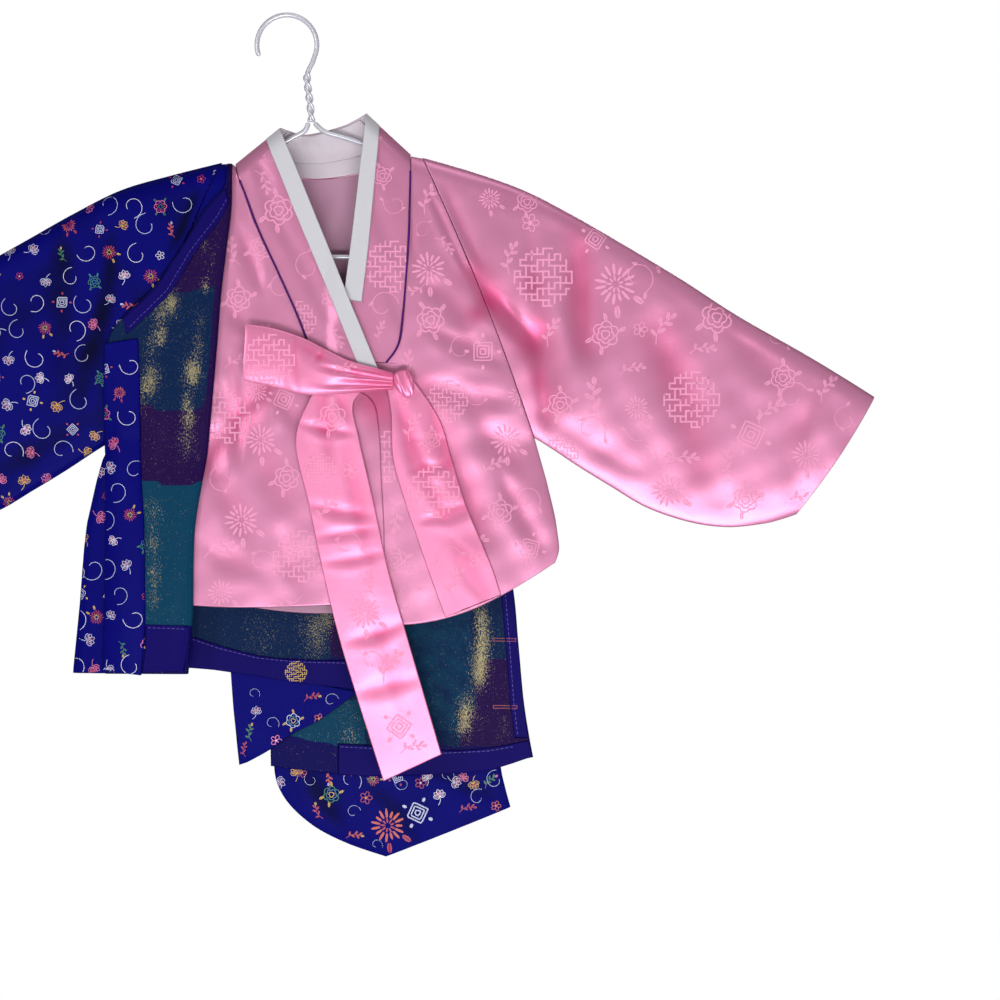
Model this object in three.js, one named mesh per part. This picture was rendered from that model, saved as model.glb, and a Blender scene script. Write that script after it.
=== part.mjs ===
// A child's Korean dress set on a wire hanger: a pink satin jacket (jeogori) tied with a ribbon
// bow, and a blue brocade overcoat that hangs from the jacket's left shoulder, turned inside out.
// Millimetres, +Z up, the front faces -Y. The origin is the inside top of the hanger's hook.

import * as THREE from 'three'

// ---------------------------------------------------------------- driving sizes
const CLOTH = 1.2 // thickness of every cloth wall
const SEAM = 0.3 // gap between two pieces at a seam
const LAYER = CLOTH + 0.4 // from one layer of cloth to the next one lying on it
const SEAM_DEPTH = CLOTH + SEAM / 2 // outer face of a wall where front and back meet

const MIDDLE_X = 29.2 // the jacket's centre line
const ARMHOLE = { topX: 108.3, topZ: -112.2, lowX: 197.7, lowZ: -336.3, bow: 4 }
const LEFT_SHOULDER_Z = -119.3 // the left armhole starts a little lower
const ARM_DEPTH = 8 // half depth of the jacket at its armholes
const SHOULDER_ROUND = 16 // how far below the shoulder the walls part fully
const COAT_EASE = 3 // how far the coat's edges lie outside the jacket's
const COAT_LIFT = 2.4 // how far the coat's face lies outside the jacket's

const WIRE_RADIUS = 2
const HOOK_RADIUS = 22
const WIRE_SIDES = 8

// ---------------------------------------------------------------- materials
const finish = (color, roughness, metalness = 0) => ({ color, roughness, metalness })
const FINISH = {
  satin: finish(0xde8cac, 0.42),
  ribbon: finish(0xf5a3bf, 0.4),
  white: finish(0xdadcdc, 0.7),
  facing: finish(0xd7c8d2, 0.4),
  piping: finish(0x4b0a5a, 0.5),
  brocade: finish(0x12088c, 0.5),
  lining: finish(0x154a66, 0.55),
  violet: finish(0x321482, 0.5),
  wire: finish(0xbebec8, 0.35, 0.4),
}

const group = new THREE.Group()

function add(name, finishName, geometry) {
  const mesh = new THREE.Mesh(geometry, new THREE.MeshStandardMaterial(FINISH[finishName]))
  mesh.name = name
  group.add(mesh)
}

// ---------------------------------------------------------------- helpers for tables and curves
const mix = (a, b, t) => a + (b - a) * t
const clamp = (t) => Math.min(1, Math.max(0, t))
const ease = (t) => clamp(t) ** 2 * (3 - 2 * clamp(t))
const quarterRound = (t) => Math.sqrt(1 - (1 - clamp(t)) ** 2)

// A table is a list of column names and one row for each section.
const table = (columns, ...rows) =>
  rows.map((row) => Object.fromEntries(columns.map((column, i) => [column, row[i]])))

// A smooth curve through four values, t from the second to the third.
function smooth(before, from, to, after, t) {
  const slopeIn = (to - before) / 2
  const slopeOut = (after - from) / 2
  const a = 2 * from - 2 * to + slopeIn + slopeOut
  const b = -3 * from + 3 * to - 2 * slopeIn - slopeOut
  return ((a * t + b) * t + slopeIn) * t + from
}

// The row at a share v of the way down a table, every column smoothed.
function section(rows, v) {
  const last = rows.length - 1
  const place = clamp(v) * last
  const i = Math.min(last - 1, Math.floor(place))
  const result = {}
  for (const column of Object.keys(rows[0])) {
    const value = (k) => rows[Math.min(last, Math.max(0, k))][column]
    result[column] = smooth(value(i - 1), value(i), value(i + 1), value(i + 2), place - i)
  }
  return result
}

// The value of a column at a given x or z, straight between rows.
function lookup(rows, key, column, at) {
  const rising = rows[rows.length - 1][key] > rows[0][key]
  const along = (row) => (rising ? row[key] : -row[key])
  const place = rising ? at : -at
  let i = 0
  while (i < rows.length - 2 && along(rows[i + 1]) < place) i += 1
  const t = clamp((place - along(rows[i])) / (along(rows[i + 1]) - along(rows[i])))
  return mix(rows[i][column], rows[i + 1][column], t)
}

const even = (count) => Array.from({ length: count + 1 }, (_, i) => i / count)
const closerAtTop = (count) => even(count).map((t) => t ** 1.5)
const closerAtEnds = (count) => even(count).map((t) => (1 - Math.cos(Math.PI * t)) / 2)

// A closed wall of cloth: outer(u, v) is a point of its face, and inner(u, v) the same point
// through the cloth.
function wall(across, down, outer, inner) {
  const positions = []
  const index = []
  const columns = across.length
  for (const face of [outer, inner]) {
    for (const v of down) for (const u of across) positions.push(...face(u, v))
  }
  const at = (layer, row, column) => (layer * down.length + row) * columns + column
  const quad = (a, b, c, d) => index.push(a, b, c, a, c, d)
  const lastRow = down.length - 1
  const lastColumn = columns - 1
  for (let row = 0; row < lastRow; row += 1) {
    for (let column = 0; column < lastColumn; column += 1) {
      const corners = (layer) => [
        at(layer, row, column),
        at(layer, row, column + 1),
        at(layer, row + 1, column + 1),
        at(layer, row + 1, column),
      ]
      quad(...corners(0))
      quad(...corners(1).reverse())
    }
  }
  for (let row = 0; row < lastRow; row += 1) {
    quad(at(0, row, 0), at(0, row + 1, 0), at(1, row + 1, 0), at(1, row, 0))
    quad(at(0, row + 1, lastColumn), at(0, row, lastColumn), at(1, row, lastColumn), at(1, row + 1, lastColumn))
  }
  for (let column = 0; column < lastColumn; column += 1) {
    quad(at(0, 0, column + 1), at(0, 0, column), at(1, 0, column), at(1, 0, column + 1))
    quad(at(0, lastRow, column), at(0, lastRow, column + 1), at(1, lastRow, column + 1), at(1, lastRow, column))
  }
  return faceOut(positions, index)
}

// Turns a closed mesh so that its faces point out.
function faceOut(positions, index) {
  const corner = (i) => new THREE.Vector3(...positions.slice(3 * i, 3 * i + 3))
  let volume = 0
  for (let i = 0; i < index.length; i += 3) {
    volume += corner(index[i]).dot(corner(index[i + 1]).cross(corner(index[i + 2])))
  }
  if (volume < 0) index.reverse()
  const geometry = new THREE.BufferGeometry()
  geometry.setAttribute('position', new THREE.Float32BufferAttribute(positions, 3))
  geometry.setIndex(index)
  geometry.computeVertexNormals()
  return geometry
}

// A wall between the two edges of a table's sections, a and b in the XZ plane. depth(x, z, row)
// is the Y of its face, and the cloth lies towards `into`, +1 behind the face or -1 before it.
// fit moves the ends of a section onto a seam.
function panel({ rows, across, down, depth, into = 1, thick = CLOTH, fit = (row) => row }) {
  const flat = (u, v) => {
    const row = fit(section(rows, v))
    const drop = (row.sag ?? 0) * Math.sin(Math.PI * u ** (row.skew ?? 1))
    return [mix(row.ax, row.bx, u), mix(row.az, row.bz, u) - drop, row]
  }
  const face = (through) => (u, v) => {
    const [x, z, row] = flat(u, v)
    return [x, depth(x, z, row, u, v) + through * into * thick, z]
  }
  return wall(across, down, face(0), face(1))
}

// ---------------------------------------------------------------- the jacket's form
// The jacket's right side and how far the middle of its front and back stand out, down to the hem
// and on below it.
const BODY = table(
  ['z', 'right', 'belly', 'back'],
  [ARMHOLE.topZ, ARMHOLE.topX, 12, 10],
  [ARMHOLE.lowZ, ARMHOLE.lowX, 12, 9],
  [-371, 207.5, 12, 9],
  [-405, 215.2, 12, 9],
  [-425, 217.5, 12, 9],
  [-470, 221, 12, 9],
  [-520, 226, 12, 9],
  [-660, 232, 12, 9],
)

// Height of the shoulder fold, with the collar's top between the two neck points.
const SHOULDER = table(
  ['x', 'top'],
  [-420, -306],
  [-311, -241],
  [-209, -183],
  [-169, -160],
  [-129.4, -140],
  [-92, -129.3],
  [-52, -119.3],
  [-41, -116.8],
  [-5.8, -88],
  [10, -80],
  [46, -76],
  [63.6, -76.6],
  [99.2, -109.4],
  [ARMHOLE.topX, ARMHOLE.topZ],
  [150, -124.2],
  [190, -138.6],
  [227.4, -157.7],
  [267.2, -180.6],
  [314.4, -209],
  [360, -238.5],
  [413.4, -269],
  [469.5, -303.4],
)

// Soft troughs in the satin: each runs between two places, with its half width and depth.
const TROUGHS = table(
  ['fromX', 'fromZ', 'toX', 'toZ', 'width', 'depth'],
  [-17, -298, -62, -353, 13, 3.2],
  [150, -204, 192, -262, 13, 3.4],
  [231, -160, 238, -262, 12, 2.6],
  [196, -256, 207, -326, 10, 2.4],
  [112, -300, 150, -410, 15, 2],
  [-90, -190, -128, -290, 14, 2.6],
  [-172, -165, -181, -262, 12, 2.4],
  [300, -250, 330, -360, 16, 1.8],
  [-242, -255, -270, -350, 16, 1.8],
)

function troughs(x, z) {
  let depth = 0
  for (const fold of TROUGHS) {
    const [runX, runZ] = [fold.toX - fold.fromX, fold.toZ - fold.fromZ]
    const along = ((x - fold.fromX) * runX + (z - fold.fromZ) * runZ) / (runX ** 2 + runZ ** 2)
    const [nearX, nearZ] = [fold.fromX + clamp(along) * runX, fold.fromZ + clamp(along) * runZ]
    const away = Math.hypot(x - nearX, z - nearZ) / fold.width
    depth += fold.depth * Math.exp(-(away ** 2))
  }
  return depth
}

const shoulderTop = (x) => lookup(SHOULDER, 'x', 'top', x)
const armShare = (z) => clamp((ARMHOLE.topZ - z) / (ARMHOLE.topZ - ARMHOLE.lowZ))
const armProfile = (t) => (1 - clamp(t) ** 3) ** 0.6
const shoulderRound = (x, z) => quarterRound((shoulderTop(x) - z) / SHOULDER_ROUND)

// The jacket's right edge: the armhole seam, and the side seam below it.
function rightEdge(z) {
  if (z < ARMHOLE.lowZ) return lookup(BODY.slice(1), 'z', 'right', z)
  const t = armShare(z)
  return mix(ARMHOLE.topX, ARMHOLE.lowX, t) + ARMHOLE.bow * Math.sin(Math.PI * t)
}
const leftEdge = (z) => 2 * MIDDLE_X - rightEdge(z)

// Half depth of the jacket's body, of its front or its back.
function bodyDepth(x, z, column) {
  const t = clamp((x - leftEdge(z)) / (rightEdge(z) - leftEdge(z)))
  const inward = Math.sin(Math.PI * t) ** 0.7
  const folded = column === 'belly' ? troughs(x, z) * inward : 0
  const full = mix(ARM_DEPTH * armProfile(armShare(z)), lookup(BODY, 'z', column, z), inward) - folded
  return SEAM_DEPTH + Math.max(0, full) * shoulderRound(x, z)
}
const frontY = (x, z) => -bodyDepth(x, z, 'belly')
const backY = (x, z) => bodyDepth(x, z, 'back')

// ---------------------------------------------------------------- hanger
// A polygon swept along a list of 3-D points, closed at both ends.
function sweep(points, radius, sides = WIRE_SIDES) {
  const spine = points.map((point) => new THREE.Vector3(...point))
  const tangentAt = (i) =>
    spine[Math.min(spine.length - 1, i + 1)].clone().sub(spine[Math.max(0, i - 1)]).normalize()
  const positions = []
  const index = []
  let up = new THREE.Vector3(0, 1, 0)
  spine.forEach((point, i) => {
    const tangent = tangentAt(i)
    up = up.clone().addScaledVector(tangent, -up.dot(tangent)).normalize()
    const side = tangent.clone().cross(up)
    for (let k = 0; k < sides; k += 1) {
      const angle = (2 * Math.PI * k) / sides
      const ring = up.clone().multiplyScalar(Math.cos(angle)).addScaledVector(side, Math.sin(angle))
      positions.push(...point.clone().addScaledVector(ring, radius).toArray())
    }
  })
  const ringAt = (i, k) => i * sides + (k % sides)
  for (let i = 0; i < spine.length - 1; i += 1) {
    for (let k = 0; k < sides; k += 1) {
      index.push(ringAt(i, k), ringAt(i, k + 1), ringAt(i + 1, k + 1))
      index.push(ringAt(i, k), ringAt(i + 1, k + 1), ringAt(i + 1, k))
    }
  }
  for (let k = 1; k < sides - 1; k += 1) {
    index.push(ringAt(0, 0), ringAt(0, k + 1), ringAt(0, k))
    index.push(ringAt(spine.length - 1, 0), ringAt(spine.length - 1, k), ringAt(spine.length - 1, k + 1))
  }
  return faceOut(positions, index)
}

const curve = (rows, count) =>
  even(count).map((v) => {
    const row = section(rows, v)
    return [row.x, row.y ?? 0, row.z]
  })

// The hook: its free end, a near-full turn about the point below the origin, and the stem, whose
// two wires are twisted together.
const HOOK_MOUTH = Math.PI * 1.12
const HOOK_TURN_STEPS = 18
const hookTurn = even(HOOK_TURN_STEPS).map((t) => {
  const angle = mix(HOOK_MOUTH, -0.25, t)
  const ring = HOOK_RADIUS + WIRE_RADIUS
  return [ring * Math.cos(angle), 0, -HOOK_RADIUS + ring * Math.sin(angle)]
})
const STEM = table(['x', 'z'], [20.5, -36], [16.2, -46], [17, -58], [18.6, -70], [19.6, -83.5])
add('hanger_hook', 'wire', sweep([...hookTurn, ...curve(STEM, 8)], WIRE_RADIUS))

// Each arm leaves the twist, dips into the neck and runs just under the shoulder seam.
const ARM_SEAT = 5.4 // from the shoulder fold down to the middle of the wire
const ARM_LEFT_NECK = table(['x', 'z'], [17.1, -84.4], [14.2, -91], [3, -97], [-18, -110], [-35, -119])
const ARM_RIGHT_NECK = table(['x', 'z'], [22.1, -84.4], [30, -91.6], [44, -95.4], [70, -104], [90, -110.5])
const underShoulder = (from, to, count) =>
  even(count).map((t) => {
    const x = mix(from, to, t)
    return [x, 0, shoulderTop(x) - ARM_SEAT]
  })
const ARM_LEFT_END = table(['x', 'z'], [-136, -149], [-144, -158], [-147, -172], [-144, -185], [-135.6, -191.2])
const ARM_RIGHT_END = table(['x', 'z'], [194, -147], [203, -158], [206, -172], [203, -185], [194.6, -191.2])
const armLeft = [...curve(ARM_LEFT_NECK, 6), ...underShoulder(-50, -124, 5), ...curve(ARM_LEFT_END, 6)]
const armRight = [...curve(ARM_RIGHT_NECK, 6), ...underShoulder(106, 186, 5), ...curve(ARM_RIGHT_END, 6)]
add('hanger_arm_left', 'wire', sweep(armLeft, WIRE_RADIUS))
add('hanger_arm_right', 'wire', sweep(armRight, WIRE_RADIUS))
const BAR_Z = -191.6
add('hanger_bar', 'wire', sweep([[-133.6, 0, BAR_Z], [30, 0, BAR_Z], [192.6, 0, BAR_Z]], WIRE_RADIUS))

// ---------------------------------------------------------------- jacket: body
// Left front: a is the armhole and side seam, b the collar seam and then the overlapping edge.
const FRONT_LEFT = table(
  ['az', 'bx', 'bz', 'sag', 'skew', 'inset'],
  [-120, -42, -118.6, 0, 0.55, SEAM],
  [-140, -34.2, -139, 0, 0.55, SEAM],
  [-171, -22, -172, 0, 0.55, SEAM],
  [-205, -6.6, -205, 0, 0.55, SEAM],
  [-239, 8.6, -239, 0, 0.55, SEAM],
  [-268, 19.4, -268, 0, 0.55, SEAM],
  [-293, 30, -291.5, 1, 0.55, SEAM],
  [-314, 66, -304, 2, 0.55, SEAM],
  [ARMHOLE.lowZ, 74, -330, 4, 0.55, 0],
  [-371, 76, -371, 6, 0.55, 0],
  [-405, 78, -405, 10, 0.55, 0],
  [-425, 78, -440, 16, 0.55, 0],
  [-436, 76, -468, 23, 0.55, 4],
)
const onLeftSeam = (row) => ({ ...row, ax: leftEdge(row.az) + row.inset })
// Right front: a is the collar seam and then the hidden edge under the left front.
const FRONT_RIGHT = table(
  ['ax', 'az', 'bz', 'sag', 'inset'],
  [99.6, -112, -113.4, 0, SEAM],
  [99.4, -140, -138, 0, SEAM],
  [98.4, -172, -171, 0, SEAM],
  [96.4, -205, -205, 0, SEAM],
  [94, -239, -239, 0, SEAM],
  [88, -276, -279, 0, SEAM],
  [60, -296, -308, 0, SEAM],
  [50, -326, ARMHOLE.lowZ, 3, 0],
  [46, -371, -371, 6, 0],
  [46, -405, -405, 9, 0],
  [47, -445, -425, 14, 0],
  [48, -484, -436, 19, 4],
)
const onRightSeam = (row) => ({ ...row, bx: rightEdge(row.bz) - row.inset })
const UNDERLAP = { from: 76, to: 118 } // the right front comes forward between these
const rightFrontY = (x, z) => {
  const tucked = 1 - ease((x - UNDERLAP.from) / (UNDERLAP.to - UNDERLAP.from))
  return frontY(x, z) + LAYER * tucked * ease((-z - 250) / 30)
}
const BODY_ACROSS = closerAtEnds(9)
const BODY_DOWN = closerAtTop(16)
const leftFront = { rows: FRONT_LEFT, across: BODY_ACROSS, down: BODY_DOWN, depth: frontY, fit: onLeftSeam }
const rightFront = {
  rows: FRONT_RIGHT,
  across: BODY_ACROSS,
  down: BODY_DOWN,
  depth: rightFrontY,
  fit: onRightSeam,
}
add('jeogori_front_left', 'satin', panel(leftFront))
add('jeogori_front_right', 'satin', panel(rightFront))

// Back: one piece, hollowed at the top for the neck.
const BACK = table(
  ['az', 'bz', 'sag', 'inset', 'neck'],
  [-118.6, -111.2, 13.2, 0, 1],
  [-130, -124, 14, SEAM, 0],
  [-150, -146, 8, SEAM, 0],
  [-171, -171, 3, SEAM, 0],
  [-225, -225, 0, SEAM, 0],
  [-279, -279, 0, SEAM, 0],
  [ARMHOLE.lowZ, ARMHOLE.lowZ, 6, 0, 0],
  [-371, -371, 14, 0, 0],
  [-405, -405, 26, 0, 0],
  [-434, -434, 43, 4, 0],
)
const NECK = { left: -41.6, right: 99.8 } // the neck points, where the back's top row ends
const onBothSeams = (row) => ({
  ...row,
  ax: mix(leftEdge(row.az) + row.inset, NECK.left, clamp(row.neck)),
  bx: mix(rightEdge(row.bz) - row.inset, NECK.right, clamp(row.neck)),
})
const back = {
  rows: BACK,
  across: closerAtEnds(12),
  down: closerAtTop(13),
  depth: backY,
  into: -1,
  fit: onBothSeams,
}
add('jeogori_back', 'satin', panel(back))

// ---------------------------------------------------------------- jacket: sleeves
// From the armhole to the cuff: a is the fold along the top, b the curved seam below.
const SLEEVE_RIGHT = table(
  ['ax', 'az', 'bx', 'bz', 'full', 'bow'],
  [ARMHOLE.topX + SEAM, ARMHOLE.topZ, ARMHOLE.lowX + SEAM, ARMHOLE.lowZ, 1, 4],
  [150, -124.2, 212, -345, 1, 2],
  [190, -138.6, 233, -359, 0.95, 0],
  [227.4, -157.7, 259, -375, 0.9, 0],
  [267.2, -180.6, 288, -392, 0.85, 0],
  [314.4, -209, 322, -403.5, 0.85, 0],
  [360, -238.5, 352.1, -407.5, 0.85, 0],
  [413.4, -269, 380, -405, 0.9, 1],
  [445, -288, 395, -401.5, 0.95, 2],
  [469.5, -303.4, 407.2, -397.5, 1, 3],
)
// The left sleeve is its mirror image, but for the lower shoulder.
const mirrored = (row) => ({ ...row, ax: 2 * MIDDLE_X - row.ax, bx: 2 * MIDDLE_X - row.bx, bow: -row.bow })
const SLEEVE_LEFT = SLEEVE_RIGHT.map(mirrored).map((row) => ({ ...row, az: shoulderTop(row.ax) }))
const leftTop = { ax: leftEdge(LEFT_SHOULDER_Z) - SEAM, az: LEFT_SHOULDER_Z }
SLEEVE_LEFT[0] = { ...SLEEVE_LEFT[0], ...leftTop, bow: SLEEVE_LEFT[0].bow }

const SLEEVE_ACROSS = closerAtEnds(9)
const SLEEVE_DOWN = even(12)

// A point of a sleeve's face; `side` is -1 for its front and +1 for its back.
function sleevePoint(rows, side, u, v) {
  const row = section(rows, v)
  const x = mix(row.ax, row.bx, u) + row.bow * Math.sin(Math.PI * u)
  const z = mix(row.az, row.bz, u)
  const topDistance = u * Math.hypot(row.ax - row.bx, row.az - row.bz)
  const shape = armProfile(u) * quarterRound(topDistance / SHOULDER_ROUND)
  const fold = side < 0 ? troughs(x, z) : troughs(x, z) * 0.6
  const fadeIn = ease(v * 6)
  const full = Math.max(0, ARM_DEPTH * row.full - fold * Math.sin(Math.PI * u) * fadeIn)
  return [x, side * (SEAM_DEPTH + full * shape), z]
}

function sleeve(rows, side) {
  const outer = (u, v) => sleevePoint(rows, side, u, v)
  const inner = (u, v) => {
    const [x, y, z] = outer(u, v)
    return [x, y - side * CLOTH, z]
  }
  return wall(SLEEVE_ACROSS, SLEEVE_DOWN, outer, inner)
}
add('sleeve_right_front', 'satin', sleeve(SLEEVE_RIGHT, -1))
add('sleeve_right_back', 'satin', sleeve(SLEEVE_RIGHT, 1))
add('sleeve_left_front', 'satin', sleeve(SLEEVE_LEFT, -1))
add('sleeve_left_back', 'satin', sleeve(SLEEVE_LEFT, 1))

// ---------------------------------------------------------------- jacket: collar
// Each band runs down from the shoulder: a is its seam to the front, b its edge at the throat.
// rise is how far the band has come away from the shoulder fold.
const COLLAR_RIGHT = table(
  ['ax', 'az', 'bx', 'bz', 'rise'],
  [98.8, -109.6, 63.6, -77, 0],
  [99.1, -124, 62.4, -95, 0.75],
  [98.8, -141, 59.6, -118, 1],
  [97.9, -172, 55.6, -152, 1],
  [96, -205, 51, -190, 1],
  [93.4, -236, 46, -226, 1],
  [89.6, -262, 42, -256, 1],
  [80, -277, 46, -275, 1],
)
const COLLAR_LEFT = table(
  ['ax', 'az', 'bx', 'bz', 'rise'],
  [-41, -117.4, -5.8, -89, 0],
  [-37, -131, 1.6, -106, 0.75],
  [-33, -141, 8.4, -122, 1],
  [-21.4, -171.5, 20.6, -152, 1],
  [-6.2, -204.4, 36, -190, 1],
  [9, -238, 50.4, -226, 1],
  [17.4, -260, 62, -254, 1],
  [27, -285, 75, -285.6, 1],
)
const LEFT_OVER_RIGHT = 3.4 // the left band clears the right one and its white strip
const collarY = (x, z, row, lift) => {
  const full = bodyDepth(x, z, 'belly') - SEAM_DEPTH + lift
  return -(SEAM_DEPTH + Math.max(full, 3.2) * quarterRound(row.rise))
}
const rightCollarY = (x, z, row) => collarY(x, z, row, 0)
const crossing = (x, z) => ease((x - 30) / 14) * ease((-z - 150) / 30)
const leftCollarY = (x, z, row) => collarY(x, z, row, LEFT_OVER_RIGHT * crossing(x, z))
const COLLAR_ACROSS = even(4)
const COLLAR_DOWN = even(14)
const collarPanel = (rows, depth) => panel({ rows, across: COLLAR_ACROSS, down: COLLAR_DOWN, depth })
add('collar_right', 'satin', collarPanel(COLLAR_RIGHT, rightCollarY))
add('collar_left', 'satin', collarPanel(COLLAR_LEFT, leftCollarY))

// The white strip lies on each band, along the throat.
const STRIP_SHARE = 0.3 // of the band's width
const strip = (rows, from, depth) => {
  const lifted = (x, z, row) => depth(x, z, row) - LAYER - SEAM
  const narrowed = rows.map((row) => ({
    ...row,
    ax: mix(row.ax, row.bx, 1 - from),
    az: mix(row.az, row.bz, 1 - from),
  }))
  return panel({ rows: narrowed, across: even(1), down: COLLAR_DOWN, depth: lifted, thick: 1 })
}
const STRIP_RIGHT = COLLAR_RIGHT.slice(0, 6)
add('dongjeong_right', 'white', strip(STRIP_RIGHT, STRIP_SHARE, rightCollarY))
add('dongjeong_left', 'white', strip(COLLAR_LEFT, STRIP_SHARE, leftCollarY))

// The collar's back, round the neck from the left shoulder to the right one: a is the top edge,
// b the seam to the back panel.
const COLLAR_BACK = table(
  ['ax', 'az', 'ay', 'bx', 'bz', 'by'],
  [-5.4, -88.2, 1.5, -41, -117, 1.5],
  [1, -90, 5.6, -30, -120, 6.2],
  [11, -92.4, 9.6, -8, -125, 9.8],
  [24, -90.8, 11, 27, -127.6, 11.6],
  [44, -85.6, 9.6, 66, -121.5, 9.8],
  [57, -80, 5.6, 88, -114, 6.2],
  [63.4, -76.8, 1.5, 99, -109.8, 1.5],
)
function neckBand(from, to, out, thick) {
  const face = (through) => (u, v) => {
    const row = section(COLLAR_BACK, v)
    const t = mix(from, to, u)
    return [mix(row.ax, row.bx, t), mix(row.ay, row.by, t) + out - through * thick, mix(row.az, row.bz, t)]
  }
  return wall(even(3), even(12), face(0), face(1))
}
add('collar_back', 'satin', neckBand(0, 1, CLOTH, CLOTH))
add('dongjeong_back', 'white', neckBand(0.02, STRIP_SHARE + 0.08, 2 * CLOTH + 0.4, CLOTH))
const neckFacing = () => {
  const rows = COLLAR_BACK.slice(1, -1)
  const face = (through) => (u, v) => {
    const row = section(rows, v)
    const t = mix(0.04, 0.66, u)
    return [mix(row.ax, row.bx, t), mix(row.ay, row.by, t) - 0.4 - through * CLOTH, mix(row.az, row.bz, t)]
  }
  return wall(even(2), even(8), face(0), face(1))
}
add('neck_facing', 'facing', neckFacing())

// A thin purple cord lies over each collar seam.
const PIPING_WIDTH = 1.8
const piping = (rows, depth) => {
  const edges = rows.slice(1).map((row) => {
    const along = row.bx > row.ax ? 1 : -1
    return { ...row, ax: row.ax - along * PIPING_WIDTH * 0.6, bx: row.ax + along * PIPING_WIDTH * 0.4, bz: row.az }
  })
  const lifted = (x, z, row) => depth(x, z, row) - LAYER
  return panel({ rows: edges, across: even(1), down: even(16), depth: lifted, thick: 1 })
}
add('piping_right', 'piping', piping(COLLAR_RIGHT, (x, z) => frontY(x, z)))
add('piping_left', 'piping', piping(COLLAR_LEFT, (x, z) => frontY(x, z)))

// ---------------------------------------------------------------- jacket: ribbon bow
// The tails hang from the knot, a their left and b their right edge.
const TAIL_LONG = table(
  ['ax', 'az', 'bx', 'bz', 'lift'],
  [34, -284, 70, -292, 5.6],
  [20.6, -304.4, 54, -309, 5.2],
  [8.6, -339.6, 58.6, -338, 4.4],
  [19, -390, 69.6, -386, 3.4],
  [29.9, -442, 81.6, -442, 3],
  [42, -492, 95.2, -490, 2.4],
  [57.3, -543.6, 110, -541, 1.6],
  [78, -609, 123.7, -588, 1],
)
const TAIL_SHORT = table(
  ['ax', 'az', 'bx', 'bz', 'lift'],
  [80, -293, 101.9, -291.6, 2],
  [84.3, -318, 122, -322, 1.6],
  [85.4, -352, 132, -354, 1.2],
  [94.3, -385, 142, -387, 0.8],
  [104, -414, 153, -414, 0.5],
  [115, -446, 164, -440, 0.3],
  [127.2, -479.1, 171, -461.5, 0.2],
)
const tailY = (x, z, row) => frontY(x, z) - LAYER - row.lift
const tail = (rows, out) => {
  const depth = (x, z, row) => tailY(x, z, row) - out
  return panel({ rows, across: even(4), down: even(14), depth })
}
add('goreum_tail_long', 'ribbon', tail(TAIL_LONG, 0))
add('goreum_tail_short', 'ribbon', tail(TAIL_SHORT, 0))

// The loop: a flattened tube of ribbon, closed by a fold at its left end and gathered at the knot.
const LOOP = table(
  ['x', 'topZ', 'lowZ', 'lift', 'open'],
  [-31.8, -246.8, -291, 9.5, 0.9],
  [-27, -247.4, -292.4, 9.5, 2.2],
  [-8, -250.5, -296.6, 9.4, 3],
  [15, -258, -302.4, 9.2, 3.2],
  [34, -267.6, -303, 9, 3],
  [52, -276, -301.6, 8.8, 2.6],
  [70, -281, -300, 8.6, 2],
  [86, -285.6, -298.6, 8.4, 1.3],
)
// Around the loop's section at v: the front layer out to the fold and the hidden layer back.
function loopPoint(u, v, inset) {
  const row = section(LOOP, v)
  const angle = 2 * Math.PI * u
  const half = (row.topZ - row.lowZ) / 2
  const z = (row.topZ + row.lowZ) / 2 + (half - inset) * Math.cos(angle)
  const spread = Math.max(0.5, CLOTH + row.open / 2 - inset)
  const y = frontY(Math.max(row.x, 0), z) - LAYER - row.lift
  return [row.x, y + spread * Math.sin(angle), z]
}
function closedTube(around, along, point) {
  const positions = []
  const index = []
  for (const v of along) for (let k = 0; k < around; k += 1) positions.push(...point(k / around, v))
  const at = (row, k) => row * around + (k % around)
  for (let row = 0; row < along.length - 1; row += 1) {
    for (let k = 0; k < around; k += 1) {
      index.push(at(row, k), at(row, k + 1), at(row + 1, k + 1))
      index.push(at(row, k), at(row + 1, k + 1), at(row + 1, k))
    }
  }
  for (const [row, order] of [[0, 1], [along.length - 1, -1]]) {
    for (let k = 1; k < around - 1; k += 1) {
      const fan = [at(row, 0), at(row, k + 1), at(row, k)]
      index.push(...(order > 0 ? fan : fan.reverse()))
    }
  }
  return faceOut(positions, index)
}
add('goreum_loop', 'ribbon', closedTube(16, even(12), (u, v) => loopPoint(u, v, 0)))

// The knot: a short wrapped band over the gathered ends.
const KNOT = { x: 94, z: -292, halfX: 7.4, halfZ: 9, halfY: 5, lift: 7.6, tilt: 0.35 }
const knotPoint = (u, v) => {
  const polar = mix(0.12, Math.PI - 0.12, v)
  const angle = 2 * Math.PI * u
  const [localX, localZ] = [KNOT.halfX * Math.sin(polar) * Math.cos(angle), KNOT.halfZ * Math.cos(polar)]
  const y = frontY(KNOT.x, KNOT.z) - LAYER - KNOT.lift - KNOT.halfY * Math.sin(polar) * Math.sin(angle)
  const x = KNOT.x + localX * Math.cos(KNOT.tilt) - localZ * Math.sin(KNOT.tilt)
  return [x, y, KNOT.z + localX * Math.sin(KNOT.tilt) + localZ * Math.cos(KNOT.tilt)]
}
add('goreum_knot', 'ribbon', closedTube(12, even(8), knotPoint))

// ---------------------------------------------------------------- overcoat: form
// The coat's left edge: its armhole, and below the underarm its side seam.
const UNDERARM_RUN = 12 // how far below the underarm the side seam closes
const belowUnderarm = (z) => ease((ARMHOLE.lowZ - 2 * COAT_EASE - z) / UNDERARM_RUN)
const coatSide = (z) => leftEdge(z) + mix(SEAM, -COAT_EASE, belowUnderarm(z))

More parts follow.
